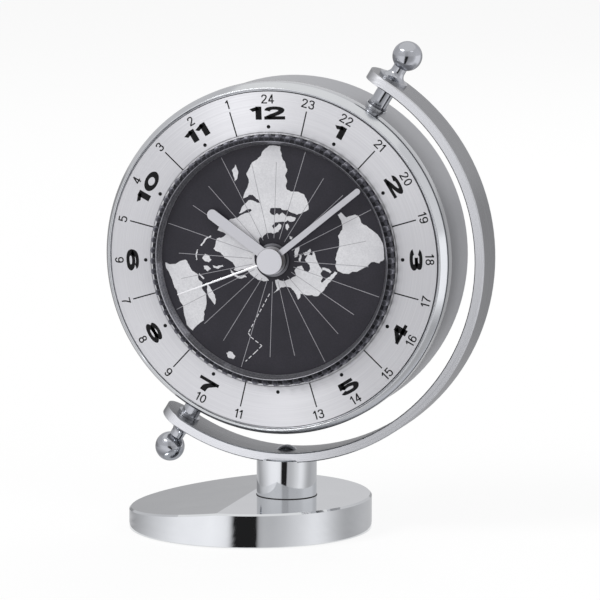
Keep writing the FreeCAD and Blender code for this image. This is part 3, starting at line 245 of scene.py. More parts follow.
def cell_sleeve():
    """Dry cell's shrink sleeve: blue-green body with pale bands towards one end, told apart by the place along x."""
    made, tree, out = new_finish("pvc_shrink_sleeve_printed")
    place = add(tree, "ShaderNodeTexCoord").outputs["Object"]
    low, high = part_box("battery")
    along = add(tree, "ShaderNodeSeparateXYZ", {0: place}).outputs["X"]
    along = add(tree, "ShaderNodeMapRange", {"Value": along, "From Min": low[0], "From Max": high[0]}).outputs[0]
    ramp = add(tree, "ShaderNodeValToRGB", {0: along})
    ramp.color_ramp.interpolation = "CONSTANT"
    stops = ramp.color_ramp.elements
    stops[0].color = linear("#b9bbbf")
    stops[1].position, stops[1].color = 0.03, linear("#3d6f78")
    for at, colour in ((0.60, "#dfe3df"), (0.66, "#3d6f78"), (0.72, "#dfe3df"), (0.95, "#b9bbbf")):
        stops.new(at).color = linear(colour)
    crease = add(tree, "ShaderNodeTexNoise", {"Vector": place, "Scale": 1 / (1.5 * MM), "Detail": 2.0}).outputs["Fac"]
    bump = add(tree, "ShaderNodeBump", {"Height": crease, "Strength": 0.15, "Distance": 0.05 * MM}).outputs[0]
    skin = add(tree, "ShaderNodeBsdfPrincipled", {"Base Color": ramp.outputs[0], "Roughness": 0.28, "Normal": bump})
    tree.links.new(skin.outputs[0], out.inputs[0])
    return made


def black_nickel():
    """Black nickel over milled teeth: painted highlights on the edges and painted shade between them, by the mesh's
    tone.
    """
    made, tree, out = new_finish("black_nickel_milled_painted_light")
    place = add(tree, "ShaderNodeTexCoord").outputs["Object"]
    tone = add(tree, "ShaderNodeAttribute", attribute_name="tone").outputs["Fac"]
    grain = add(tree, "ShaderNodeTexNoise", {"Vector": place, "Scale": 1 / (0.5 * MM), "Detail": 2.0}).outputs["Fac"]
    # Painted light level: the mesh's painted tone times a grain; the ramp runs from black painted shade to pale painted
    # highlight
    painted_light_level = add(tree, "ShaderNodeMath", {0: grain, 1: 0.5}, operation="ADD").outputs[0]
    painted_light_level = add(tree, "ShaderNodeMath", {0: tone, 1: painted_light_level}, operation="MULTIPLY").outputs[0]
    ramp = add(tree, "ShaderNodeValToRGB", {0: painted_light_level})
    stops = ramp.color_ramp.elements
    stops[0].color = linear("#17171a")
    stops[1].color = linear("#cfcfd4")
    stops.new(0.45).color = linear("#6c6c74")
    bump = add(tree, "ShaderNodeBump", {"Height": grain, "Strength": 0.3, "Distance": 0.02 * MM}).outputs[0]
    skin = add(tree, "ShaderNodeBsdfPrincipled", {
        "Base Color": ramp.outputs[0], "Metallic": 0.9, "Roughness": 0.38, "Normal": bump})
    tree.links.new(skin.outputs[0], out.inputs[0])
    return made


finishes = {
    chrome: "base post upper_bush lower_bush",
    rim_chrome: "front_rim",
    bright_nickel: "upper_finial lower_finial upper_sleeve lower_sleeve",
    satin_steel: "case",
    arm_steel: "arm",
    screw_steel: "base_screw arm_screw cover_screws upper_pivot_pin lower_pivot_pin upper_retaining_clip "
                 "lower_retaining_clip",
    dial_silver: "dial_ring",
    cover_silver: "back_cover",
    map_black: "world_disc",
    hand_silver: "second_hand",
    cap_satin: "hub_cap",
    hand_satin: "hour_hand minute_hand",
    collar_steel: "disc_collar",
    felt: "base_pad",
    spring_steel: "upper_friction_washer lower_friction_washer",
    black_abs: "dial_carrier nut_washer movement_front movement_back chip setting_knob",
    white_acetal: "middle_plate",
    gear_acetal: "minute_wheel hour_wheel setting_pinion centre_wheel third_wheel second_wheel fifth_wheel",
    brass: "nut world_pinion cannon_pinion",
    board_green: "circuit_board",
    copper: "coil",
    soft_iron: "stator coil_core",
    nickel: "quartz_crystal positive_contact negative_contact",
    magnet: "rotor",
    cell_sleeve(): "battery",
}
for finish, names in finishes.items():
    for name in names.split():
        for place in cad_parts[name].material_slots:
            place.material = finish


# Shapes
def dial_points(points):
    """Dial millimetres (right, up, towards the viewer from the dial's face) to the row frame.

    The dial is turned anticlockwise by DIAL_TURN: right and up are mixed by its sine and cosine.
    """
    x, y, z = np.asarray(points, float).T * MM
    across = x * math.cos(DIAL_TURN) - y * math.sin(DIAL_TURN)
    up = x * math.sin(DIAL_TURN) + y * math.cos(DIAL_TURN)
    return np.column_stack([DIAL_X + across, DIAL_FACE - z, DIAL_Z + up])


def clock_points(flat, radius, degrees, inward=False):
    """Flat (x, y) drawn about its own middle, set at radius and clock angle, with its top outward or inward."""
    a = math.radians(degrees)
    t = a + (math.pi if inward else 0.0)
    x, y = np.asarray(flat, float).T
    return np.column_stack([
        radius * math.sin(a) + x * math.cos(t) + y * math.sin(t),
        radius * math.cos(a) - x * math.sin(t) + y * math.cos(t)])


def spin(r, z, turn):
    """Radii and heights of a profile turned about an axis to each angle of turn, a column."""
    return np.stack([r * np.sin(turn), r * np.cos(turn), z + 0 * turn], -1)


def round_turn(step):
    """Column of angles once round, in steps of so many degrees."""
    return np.radians(np.arange(0, 360, step))[:, None]


def grid_faces(n, m, closed=True):
    """Quads of a grid of n rows by m columns, joined round across its columns and, if closed, round its rows."""
    i, j = np.meshgrid(np.arange(n if closed else n - 1), np.arange(m), indexing="ij")
    i1, j1 = (i + 1) % n, (j + 1) % m
    return np.stack([i * m + j, i * m + j1, i1 * m + j1, i1 * m + j], -1).reshape(-1, 4)


def mesh_object(name, verts, faces, finish):
    """Mesh object at the origin with its place in its mesh."""
    mesh = bpy.data.meshes.new(name)
    mesh.from_pydata(np.asarray(verts).tolist(), [], faces)
    mesh.materials.append(finish)
    made = bpy.data.objects.new(name, mesh)
    bpy.context.scene.collection.objects.link(made)
    return made


def piece(name, verts, faces, body, finish, smooth=False):
    """Piece of the clock, riding on a body."""
    made = mesh_object(name, verts, faces, finish)
    made.data.validate()
    made.data.polygons.foreach_set("use_smooth", np.full(len(made.data.polygons), smooth))
    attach(made, body)
    return made


def turned(name, profile, finish, smooth, shift=(0, 0), shifted_beyond=50):
    """Closed ring on the head: a profile of (radius, height), up inside and down outside, turned about the dial's axis.

    Its outer edge, beyond a radius of shifted_beyond, lies off that axis by shift, to the right and up.
    """
    r, z = np.asarray(profile, float).T
    verts = spin(r, z, round_turn(1))
    verts[..., :2] += (r > shifted_beyond)[:, None] * np.asarray(shift, float)
    return piece(name, dial_points(verts.reshape(-1, 3)), grid_faces(*verts.shape[:2]).tolist(), "head", finish,
                 smooth)


def plates(name, outlines, low, high, body, finish):
    """Thin printed or raised plates, each with a face at height high, one at low turned over, and a wall between."""
    verts, faces, count = [], [], 0
    for outline in outlines:
        ring = np.asarray(outline, float)
        x, y = ring.T
        if (np.sum(x * np.roll(y, -1) - y * np.roll(x, -1)) > 0) == (high > low):
            ring = ring[::-1]
        n = len(ring)
        verts += [np.column_stack([ring, np.full(n, z)]) for z in (high, low)]
        i = np.arange(n)
        j = (i + 1) % n
        faces += [(i[::-1] + count).tolist(), (i + n + count).tolist()]
        faces += (np.column_stack([i, j, j + n, i + n]) + count).tolist()
        count += 2 * n
    return piece(name, dial_points(np.vstack(verts)), faces, body, finish)


def flat_bar(half, low, high):
    """Outline of an upright bar of half the width each side, from low to high."""
    return np.array([(-half, low), (half, low), (half, high), (-half, high)])


# Figures as pen strokes in a unit box: (closed, smooth, points). EDGE and -EDGE stand for the figure's outer edge.
EDGE = 9
ONE_WIDTH = 0.56  # of another figure's
RING = [(math.cos(t), math.sin(t)) for t in np.linspace(0, 2 * math.pi, 8, endpoint=False)]
SIX = ((0.94, 0.80), (0.80, 0.95), (0.50, 1.0), (0.14, 0.88), (0.0, 0.50), (0.04, 0.20), (0.20, 0.04), (0.50, 0.0),
       (0.86, 0.07), (1.0, 0.30), (0.86, 0.53), (0.50, 0.60), (0.14, 0.52), (0.03, 0.38))
FIGURES = {
    "0": [(True, True, [(0.5 + 0.5 * x, 0.5 + 0.5 * y) for x, y in RING])],
    "1": [(False, False, ((0.78, EDGE), (0.78, -EDGE))), (False, False, ((-EDGE, 0.76), (0.70, 1.0)))],
    "2": [(False, True, ((0.0, 0.72), (0.12, 0.93), (0.50, 1.0), (0.92, 0.90), (0.94, 0.68), (0.70, 0.46),
                         (0.30, 0.24), (0.0, 0.04))),
          (False, False, ((-EDGE, 0.0), (EDGE, 0.0)))],
    "3": [(False, True, ((0.0, 0.80), (0.14, 0.95), (0.50, 1.0), (0.90, 0.93), (0.93, 0.74), (0.78, 0.56),
                         (0.36, 0.52))),
          (False, True, ((0.36, 0.52), (0.84, 0.50), (1.0, 0.27), (0.86, 0.06), (0.50, 0.0), (0.12, 0.06),
                         (-0.02, 0.24)))],
    "4": [(False, False, ((0.72, EDGE), (0.72, -EDGE))), (False, False, ((0.66, 0.98), (0.02, 0.30))),
          (False, False, ((-EDGE, 0.25), (EDGE, 0.25)))],
    "5": [(False, False, ((0.08, 1.0), (0.95, 1.0))), (False, False, ((0.10, EDGE), (0.05, 0.50))),
          (False, True, ((0.04, 0.52), (0.28, 0.62), (0.60, 0.63), (0.94, 0.50), (1.0, 0.30), (0.86, 0.06),
                         (0.50, 0.0), (0.12, 0.06), (-0.02, 0.22)))],
    "6": [(False, True, SIX)],
    "7": [(False, False, ((-EDGE, 1.0), (EDGE, 1.0))),
          (False, True, ((0.96, 0.98), (0.66, 0.66), (0.42, 0.34), (0.34, -EDGE)))],
    "8": [(True, True, [(0.5 + 0.42 * x, 0.77 + 0.23 * y) for x, y in RING]),
          (True, True, [(0.5 + 0.5 * x, 0.27 + 0.27 * y) for x, y in RING])],
    "9": [(False, True, [(1 - x, 1 - y) for x, y in SIX])],
}


def curve_through(points, closed):
    """Catmull-Rom curve: between two points, the cubic whose slope at each is half the step between its neighbours."""
    p = np.asarray(points, float)
    p = np.vstack([p[-1:], p, p[:2]]) if closed else np.vstack([2 * p[:1] - p[1:2], p, 2 * p[-1:] - p[-2:-1]])
    t = np.linspace(0, 1, 6, endpoint=False)[None, :, None]
    a, b, c, d = (p[k:len(p) - 3 + k, None] for k in range(4))
    run = 0.5 * (2 * b + (c - a) * t + (2 * a - 5 * b + 4 * c - d) * t ** 2 + (3 * b - a - 3 * c + d) * t ** 3)
    run = run.reshape(-1, 2)
    return run if closed else np.vstack([run, p[-2:-1]])


def pen_stroke(path, closed, pen):
    """Both sides of a line drawn with an upright oval pen.

    A side is the path plus or minus the square of the pen times the path's normal, over the length of pen times normal.
    """
    step = np.roll(path, -1, 0) - np.roll(path, 1, 0)
    if not closed:
        step[0], step[-1] = path[1] - path[0], path[-1] - path[-2]
    normal = np.column_stack([-step[:, 1], step[:, 0]])
    normal /= np.linalg.norm(normal, axis=1, keepdims=True)
    side = pen ** 2 * normal / np.linalg.norm(pen * normal, axis=1, keepdims=True)
    return path + side, path - side


def numbers(name, marks, size, pen, gap):
    """Numbers round the dial as thin closed bars, one for each stroke of the pen.

    Each mark is (text, radius, clock angle, top inward). The bar's section has four corners, left and right at
    the ink's top and at the dial, so a stroke is a grid of n by 4 points, joined round, and capped or closed.
    """
    size, pen, cap = np.array(size), np.array(pen), np.arange(4)
    verts, faces, count = [], [], 0
    for text, radius, degrees, inward in marks:
        widths = [size[0] * (ONE_WIDTH if c == "1" else 1.0) for c in text]
        left = -(sum(widths) + gap * (len(text) - 1)) / 2
        for character, width in zip(text, widths):
            box = np.array([width, size[1]])
            for closed, smooth, points in FIGURES[character]:
                p = np.asarray(points, float)
                p = np.where(np.abs(p) == EDGE, np.sign(p) * box / 2, (p - 0.5) * (box - 2 * pen))
                p = curve_through(p, closed) if smooth else p
                sides = [q + (left + width / 2, 0) for q in pen_stroke(p, closed, pen)]
                a, b = (clock_points(q, radius, degrees, inward) for q in sides)
                n = len(p)
                corners = ((a, INK), (b, INK), (b, 0.0), (a, 0.0))
                verts.append(np.stack([np.column_stack([q, np.full(n, z)]) for q, z in corners], 1).reshape(-1, 3))
                faces += (grid_faces(n, 4, closed)[:, ::-1] + count).tolist()
                if not closed:
                    faces += [(count + cap).tolist(), (count + 4 * n - 1 - cap).tolist()]
                count += 4 * n
            left += width + gap
    return piece(name, dial_points(np.vstack(verts)), faces, "head", ink_black)


TEETH, TOOTH_STEPS = 72, 16
# Coin-edged ring, from the map outwards and back underneath: radius, height, how far the gaps are cut in and down,
# width of the teeth (2 is all round), tone in the gaps, tone on the teeth. The tones are painted light: painted shade
# in the gaps, at the foot and along the crest, and painted highlight lines on the bevel and the teeth.
COIN_PROFILE = np.array((
    (37.10, 0.00, 0, 0, 2, 0.10, 0.10), (37.16, 0.20, 0, 0, 2, 0.85, 0.85), (37.30, 0.50, 0, 0, 2, 0.62, 0.62),
    (37.76, 1.40, 0, 0, 2, 0.60, 0.60), (37.82, 1.55, 0, 0, 2, 0.80, 0.80), (37.90, 1.75, 0, 0, 2, 0.64, 0.64),
    (38.24, 2.62, 0, 0, 2, 0.62, 0.62), (38.31, 2.82, 0, 0, 2, 0.95, 0.95), (38.42, 2.94, 0, 0, 2, 0.85, 0.85),
    (38.52, 3.00, 0, 0, 2, 0.08, 0.08), (38.62, 3.00, 0, 0.02, 0.1, 0.03, 0.04),
    (39.00, 3.00, 0, 0.14, 0.3, 0.02, 0.05), (39.35, 3.00, 0, 0.24, 0.5, 0.02, 0.08),
    (39.66, 2.98, 0.08, 0.30, 0.5, 0.02, 0.20),
    (40.00, 2.92, 0.40, 0.30, 0.4, 0.04, 0.46), (40.28, 2.76, 0.72, 0.20, 0.3, 0.12, 0.56),
    (40.42, 2.48, 0.92, 0.08, 0.3, 0.26, 0.46), (40.46, 2.05, 1.00, 0, 0.4, 0.38, 0.42),
    (40.48, 1.55, 1.00, 0, 0.5, 0.40, 0.42), (40.49, 1.00, 0.90, 0, 0.5, 0.38, 0.42),
    (40.50, 0.55, 0.70, 0, 0.5, 0.30, 0.34), (40.50, 0.30, 0.45, 0, 0.5, 0.12, 0.12),
    (40.48, 0.10, 0.3, 0, 0.5, 0.05, 0.05), (40.10, 0.10, 0, 0, 2, 0.08, 0.08),
    (40.10, -1.20, 0, 0, 2, 0.08, 0.08), (39.30, -1.20, 0, 0, 2, 0.08, 0.08), (39.30, -0.50, 0, 0, 2, 0.08, 0.08),
    (37.10, -0.50, 0, 0, 2, 0.08, 0.08)))


def coin_edge():
    """Coin-edged ring as a closed grid of clock angle by profile.

    The tooth wave is a smoothed step of the cosine of TEETH times the angle plus the row's width, one on a tooth
    and nought between. Radius and height are the profile's, less the row's cuts times one minus the wave. The painted
    tone runs from the gap's painted shade to the tooth's with the wave, and a painted highlight lifts it on the
    teeth's sides, where the wave is halfway.
    """
    slope, flank_highlight = 0.9, 0.7
    angle = np.radians(np.arange(TEETH * TOOTH_STEPS) * 360 / (TEETH * TOOTH_STEPS))[:, None]
    r, z, cut_in, cut_down, width, low, high = COIN_PROFILE.T
    wave = np.clip((np.cos(TEETH * angle) + width) / slope, 0, 1)
    wave = wave * wave * (3 - 2 * wave)
    grid = spin(r - cut_in * (1 - wave), z - cut_down * (1 - wave), angle)
    made = piece("coin_edge_ring", dial_points(grid.reshape(-1, 3)), grid_faces(*grid.shape[:2]).tolist(),
                 "world_works", black_nickel(), True)
    # Painted tone: painted shade in the gaps, and a painted highlight on the teeth's sides
    shade = low + (high - low) * wave + flank_highlight * wave * (1 - wave)
    made.data.attributes.new("tone", "FLOAT", "POINT").data.foreach_set("value", shade.ravel())
    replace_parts(made, "coin_ring")


coin_edge()

# Rolled inner edge of the dial, which closes the gap round the coin-edged ring
turned("dial_inner_lip", ((40.34, -0.06), (40.40, 0.0), (41.10, 0.0), (41.10, -0.42), (40.44, -0.42), (40.34, -0.34)),
       dial_silver, False)

# Dial ring: it lies in its seat against the rim's left, so the fine joint between them opens towards the right
dial_section = ((40.9, -0.98), (40.9, -0.02), (40.92, 0.0), (54.0, 0.0), (54.04, -0.04), (54.04, -0.98))
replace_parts(turned("dial_ring_face", dial_section, dial_silver, False, (-0.15, -0.05)), "dial_ring")


def bezier(start, control, end, steps=8):
    """Quadratic Bezier curve, without its start: (1 - u) squared, 2 u (1 - u) and u squared of the three points."""
    u = np.linspace(0, 1, steps + 1)[1:, None]
    return (1 - u) ** 2 * start + 2 * u * (1 - u) * control + u ** 2 * end


# Front rim: an inner bevel, a round lip, a bow that leaves the lip along its tangent, a rounded corner, a skirt back
# over the case wall, and the steps behind
lip_middle, lip_radius, lip_turn = (55.02, 0.41), 0.3, np.radians(np.linspace(136, 30, 9))
rim_lip = lip_middle + lip_radius * np.column_stack([np.cos(lip_turn), np.sin(lip_turn)])
rim_bow = bezier(rim_lip[-1], (55.93, -0.78), (56.68, -2.45))
rim_corner = bezier(rim_bow[-1], (56.88, -2.9), (56.9, -3.6))
rim_back = ((56.98, -7.2), (56.95, -7.35), (56.85, -7.42), (56.65, -7.42), (56.65, -3.56), (55.65, -3.56),
            (55.65, -1.1), (54.65, -1.1), (54.65, -0.97), (54.26, -0.97), (54.22, -0.9), (54.22, -0.03), (54.26, 0.06))
rim_section = np.vstack([rim_lip, rim_bow, rim_corner, rim_back])
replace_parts(turned("front_rim_bowed", rim_section, rim_chrome, True), "front_rim")


def slim_second_hand():
    """Second hand: a straight bar that narrows to its tip, with its two top edges eased, and a round boss.

    The bar is a grid of places along it by six section corners, its half width falling evenly from root to tip
    and closing in a round. The boss is a profile turned about the axis.
    """
    degrees, low, high = 251, 4.1, 4.3
    root, tip, root_half, tip_half = 1.5, 33.0, 0.38, 0.2
    boss, bore, edge = 3.0, 0.5, 0.05
    close = np.linspace(0, 1.45, 5)
    along = np.concatenate([[root, 6.0, 12.0, 18.0, 24.0], tip - tip_half + tip_half * np.sin(close)])
    half = np.interp(along, [root, tip], [root_half, tip_half])
    half[-len(close):] *= np.cos(close)
    across, up = np.array([(-1, 0), (-1, 0.6), (-0.6, 1), (0.6, 1), (1, 0.6), (1, 0)]).T
    n, m = len(along), len(up)
    flat = np.stack([across * half[:, None], along[:, None] + 0 * across], -1).reshape(-1, 2)
    bar = np.column_stack([clock_points(flat, 0.0, degrees), np.tile(low + (high - low) * up, n)])
    r, z = np.array(((bore, low), (boss, low), (boss, high - edge), (boss - edge, high), (bore, high))).T
    disc = spin(r, z, round_turn(5))
    faces = grid_faces(n, m, False)[:, ::-1].tolist() + [list(range(m)), list(range(n * m))[:-m - 1:-1]]
    faces += (grid_faces(*disc.shape[:2]) + n * m).tolist()
    made = piece("second_hand_slim", dial_points(np.vstack([bar, disc.reshape(-1, 3)])), faces, "second_works",
                 hand_silver)
    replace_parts(made, "second_hand")


slim_second_hand()


def foot_gasket():
    """Thin dark ring at the post's foot, a painted shadow where post meets base: a small round section turned about the
    post.
    """
    gap, half_width, half_height, lift = 0.02 * MM, 0.16 * MM, 0.14 * MM, 0.1 * MM
    low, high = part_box("post")
    middle, reach = (low[0] + high[0]) / 2, (high[0] - low[0]) / 2 + gap
    turn, section = round_turn(4), np.radians(np.arange(0, 360, 45))
    r = reach + half_width * np.cos(section)
    z = low[2] + lift + half_height * np.sin(section)
    verts = np.stack([middle + r * np.cos(turn), r * np.sin(turn), z + 0 * turn], -1)
    faces = grid_faces(*verts.shape[:2])[:, ::-1]
    piece("post_foot_painted_shadow", verts.reshape(-1, 3), faces.tolist(), "stand", black_abs, True)


foot_gasket()


def movement_marks():
    """Marks on the back of the movement: the cell's plus and minus, and a bent arrow for the way the knob turns."""
    level = (DIAL_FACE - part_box("movement_back")[1][1]) / MM
    low, high = np.array(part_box("setting_knob"))
    x, _, z = (low + high) / 2
    x, z = (x - DIAL_X) / MM, (z - DIAL_Z) / MM
    knob = (x * math.cos(DIAL_TURN) + z * math.sin(DIAL_TURN), z * math.cos(DIAL_TURN) - x * math.sin(DIAL_TURN))
    shaft, half_shaft, half_head, head_angle, tip_angle = 7.7, 0.2, 1.0, 0.7, 0.95
    bend = np.radians(np.linspace(-70, 40, 16))
    ray = np.column_stack([np.cos(bend), np.sin(bend)])
    arc = np.vstack([(shaft + half_shaft) * ray, (shaft - half_shaft) * ray[::-1]])
    corners = ((shaft + half_head, head_angle), (shaft - half_head, head_angle), (shaft, tip_angle))
    arrow = np.array([(r * math.cos(a), r * math.sin(a)) for r, a in corners])
    stroke_reach, stroke_half, print_height = 1.3, 0.22, 0.05
    bar, plus, minus = flat_bar(stroke_reach, -stroke_half, stroke_half), (19.5, -8.6), (-19.5, -8.6)
    marks = [arc + knob, arrow + knob, bar + plus, bar[:, ::-1] + plus, bar + minus]
    plates("movement_marks", marks, level, level - print_height, "head", mark_white)


movement_marks()

# Dial print: hours, dots, ticks, and the day's hours, which run the other way round. Numbers on the lower half of the
# dial stand with their tops inward, and neither scale has one at the very bottom.
HOUR_RADIUS, ZONE_RADIUS, DOT_RADIUS, TICK_RADIUS = 47.1, 51.6, 42.7, 45.1
DOT_HALF, TICK_HALF, TICK_REACH = 0.6, 0.2, 4.05
hour_marks = [(str(n), HOUR_RADIUS, 30 * n, n in (4, 5, 7, 8)) for n in range(1, 13) if n != 6]
numbers("dial_hour_numbers", hour_marks, size=(6.9, 4.2), pen=(1.0, 0.52), gap=0.45)
zone_marks = [(str(n), ZONE_RADIUS, (24 - n) * 15, 7 <= n <= 17) for n in range(1, 25) if n != 12]
numbers("dial_zone_numbers", zone_marks, size=(1.9, 2.9), pen=(0.22, 0.19), gap=0.42)

steps = np.radians(np.arange(0, 360, 20))
dot = DOT_HALF * np.column_stack([np.cos(steps), np.sin(steps)])
dots = [clock_points(dot, DOT_RADIUS, 30 * k) for k in range(12)]
plates("dial_hour_dots", dots, 0.0, INK, "head", ink_black)
tick = flat_bar(TICK_HALF, -TICK_REACH, TICK_REACH)
ticks = [clock_points(tick, TICK_RADIUS, 15 + 30 * k) for k in range(12)]
plates("dial_zone_ticks", ticks, 0.0, INK, "head", ink_black)

# Map print, in millimetres on the disc: the north pole is at the middle and the date line points down. Each outline
# is one coast, the large lands first and then the islands.
LAND = (
    ((0, 36.7), (-1.9, 35.2), (-3.6, 32.9), (-5.8, 31.4), (-7.1, 29.1), (-7.9, 27.8), (-7.2, 25.9),
     (-7.7, 23.3), (-9.3, 19.8), (-7.3, 20.9), (-6.1, 21), (-5.2, 20.1), (-4, 19), (-3.8, 18.3), (-4.7, 18.4),
     (-6, 19.1), (-7.5, 19.2), (-8.8, 18), (-9.9, 16.8), (-10.9, 15), (-9.5, 15.4), (-8.1, 16.3), (-6.8, 16.4),
     (-6.6, 15.8), (-7.8, 15.2), (-9.5, 14.7), (-11, 13.9), (-12.5, 13.4), (-14, 13), (-15.3, 11.7),
     (-17.5, 10.7), (-18.3, 9.6), (-16.5, 9), (-15.3, 8.3), (-16.7, 7.3), (-18.3, 7), (-18.9, 5.9),
     (-19.8, 3.6), (-19, 2.9), (-17.4, 2.3), (-16.2, 0.7), (-14.7, -0.1), (-13.6, -0.7), (-12.7, -2.3),
     (-13.3, -3.2), (-11.8, -3.6), (-10.2, -3), (-8.9, -3.2), (-8.1, -4.1), (-6.8, -5.4), (-5.4, -6.4),
     (-3.4, -6.9), (-1.6, -6.6), (-2.4, -5.7), (-4.3, -4.3), (-5.5, -2.5), (-6.2, -0.3), (-6, 1.7),
     (-5.4, 3.6), (-4.4, 5.2), (-4.6, 6.5), (-4.1, 7.4), (-3.4, 7), (-2.8, 7.9), (-2, 8.6), (-1, 8.7),
     (0.6, 8.5), (2, 9), (2.8, 10), (3.1, 11.2), (2.3, 11.7), (1.4, 10.7), (0.4, 10), (0, 11), (1.1, 12.1),
     (2.3, 12.2), (3.5, 12.3), (4.5, 12.2), (5.3, 12.8), (6.1, 12.2), (7.5, 12.5), (8, 13.5), (6.3, 14.1),
     (5.1, 13.9), (4.2, 14.7), (3.4, 15.2), (2.6, 14.4), (1.8, 15), (0.8, 14.3), (-0.1, 14.7), (-0.6, 15.4),
     (-0.4, 16.5), (1.2, 16.8), (2.9, 16.7), (3.7, 16.1), (5.3, 16.1), (6.3, 15.3), (8.4, 14.5), (10.2, 15.2),
     (12.3, 16.2), (12.2, 17.8), (11.5, 19.9), (11, 21), (9, 21.9), (6.8, 21.9), (5.5, 22.5), (5, 23.6),
     (5.5, 25), (4.9, 27), (5.7, 29.1), (5.1, 31.1), (4.2, 32.7), (3.7, 34.9), (3.6, 36.5), (1.8, 36.7)),
    ((0.4, -6.4), (1, -9.2), (-0.4, -10.8), (1.1, -9.9), (2.5, -8.8), (4.5, -8.7), (5.7, -9.1), (6.7, -10.4),
     (7.8, -12.8), (8.5, -12.2), (8.6, -10.9), (11.4, -11.4), (14.1, -11.7), (15.8, -10.4), (17, -8.8),
     (18.1, -7.4), (19.9, -5.7), (21.1, -4.1), (20.3, -3.7), (18.6, -5.4), (17.4, -5.9), (15.9, -7.4),
     (15.5, -6.8), (16.4, -5.6), (15.5, -4.5), (16.2, -3.3), (15.1, -1.7), (14.3, 0.1), (14, 1.5), (13.5, 2.8),
     (12.8, 1.4), (11.5, 1.9), (10.5, 0.1), (12, -1.7), (12.1, -3), (11.4, -3.9), (10.1, -3.4), (9.5, -1.9),
     (8.1, -2.1), (6.9, -3.5), (7.4, -5.2), (4.9, -6.3), (2.9, -6.8), (1.6, -6.3)),
    ((21.9, 14.5), (23, 15.2), (24.7, 13.6), (27.6, 14.5), (28.7, 13.9), (30.2, 11.3), (32.9, 9.6),
     (35.3, 7.3), (36.3, 5.5), (36.6, 3.1), (36.7, 0.3), (35, -1.1), (32.5, -0.7), (30, -2.5), (27.6, -3.8),
     (23.9, -4.4), (21.3, -3.6), (20.5, -1.9), (21, 1.4), (21.9, 3.9), (21.7, 7.7), (23.2, 9.7), (23.1, 11.7)),
    ((-36.1, -0.8), (-34.7, -1.4), (-29.3, 0.1), (-28.1, -1.7), (-27.1, -3.6), (-25.5, -4.5), (-25.1, -6.4),
     (-23.9, -7.4), (-24.2, -9.1), (-22.9, -11), (-22.8, -14.1), (-23.8, -16.7), (-24, -19.6), (-26.3, -21.2),
     (-27.8, -22.9), (-29.7, -21), (-30.4, -18), (-30.7, -14.8), (-32.4, -10.9), (-33.7, -7.7), (-34.8, -4.6),
     (-35.9, -2.6)),
    ((-11.5, 30.7), (-12.7, 28.8), (-12.3, 27.2), (-11.9, 25.3), (-11, 26.2), (-10.6, 28), (-11, 29.6)),
    ((-22.4, -7.2), (-21.4, -8.7), (-20.3, -10.8), (-19.6, -12.8), (-20.1, -14.5), (-21.3, -12.8),
     (-22.1, -11.6), (-22.5, -9.7)),
    ((-23.7, 0.6), (-22.7, 2), (-21.6, 1.5), (-20.6, 0.1), (-21.5, -0.8), (-23, -0.3)),
    ((-20.3, 7.7), (-22.3, 6.4), (-23.7, 4.5), (-24.2, 4.7), (-22.8, 6.6), (-20.6, 7.9)),
    ((-25, 3.4), (-25.4, 1.9), (-25.3, 0.1), (-25.8, -0.1), (-25.8, 2), (-25.3, 3.4)),
    ((-23.3, -1.9), (-21.7, -2), (-20.9, -2.8), (-22, -3.7), (-23.1, -3)),
    ((-20.2, -1.7), (-18.8, -2.1), (-17, -1.6), (-16.7, -2.1), (-18.4, -2.9), (-20, -2.5)),
    ((-24.8, -4.3), (-23.2, -5.9), (-23.5, -6.3), (-25.1, -4.7)),
    ((-14.4, -2.9), (-13.4, -3.9), (-11.9, -5.2), (-9.5, -5), (-9, -5.6), (-11.6, -6), (-13.3, -5.1),
     (-14.3, -3.9)),
    ((-16.8, -30.1), (-15.4, -29.6), (-13.8, -31.1), (-14.5, -32.1), (-16.1, -31.7)),
    ((16.1, -2.5), (18.3, -2.9), (19.2, -3.8), (18.7, -4.3), (17.2, -3.4), (16.1, -3.2)),
    ((4.6, 11.4), (5.2, 11.7), (5.7, 10.4), (5, 9.5), (4.5, 10.1)),
    ((5.7, 7.7), (6.7, 7.4), (6.5, 6.5), (5.7, 6.8)),
    ((7.1, 2.6), (7.7, 3.9), (8.8, 4.3), (8.7, 2.9), (8, 1.1), (7.2, 0.7)),
    ((8.8, 1.7), (9.5, 1.4), (9, -0.7), (8.5, -0.3)),
    ((10, 2.3), (11.4, 2.6), (12.3, 3.6), (12.7, 2.9), (11.9, 1.7), (10.5, 1.4)),
)
LAND_REACH = 36.8  # the disc's print ends here


def coast(outline, seed):
    """Coastline: every edge is cut in three, and the new points step aside by a seeded share of its length.

    No point lies further out than LAND_REACH.
    """
    p = np.asarray(outline, float)
    q = np.roll(p, -1, 0)
    rng = np.random.default_rng(seed)
    share = np.array([0.0, 1 / 3, 2 / 3])[None, :, None]
    cut = p[:, None] * (1 - share) + q[:, None] * share
    side = rng.uniform(-0.09, 0.09, cut.shape) * np.linalg.norm(q - p, axis=1)[:, None, None]
    side[:, 0] = 0.0
    out = (cut + side).reshape(-1, 2)
    return out * np.minimum(1.0, LAND_REACH / np.linalg.norm(out, axis=1, keepdims=True))


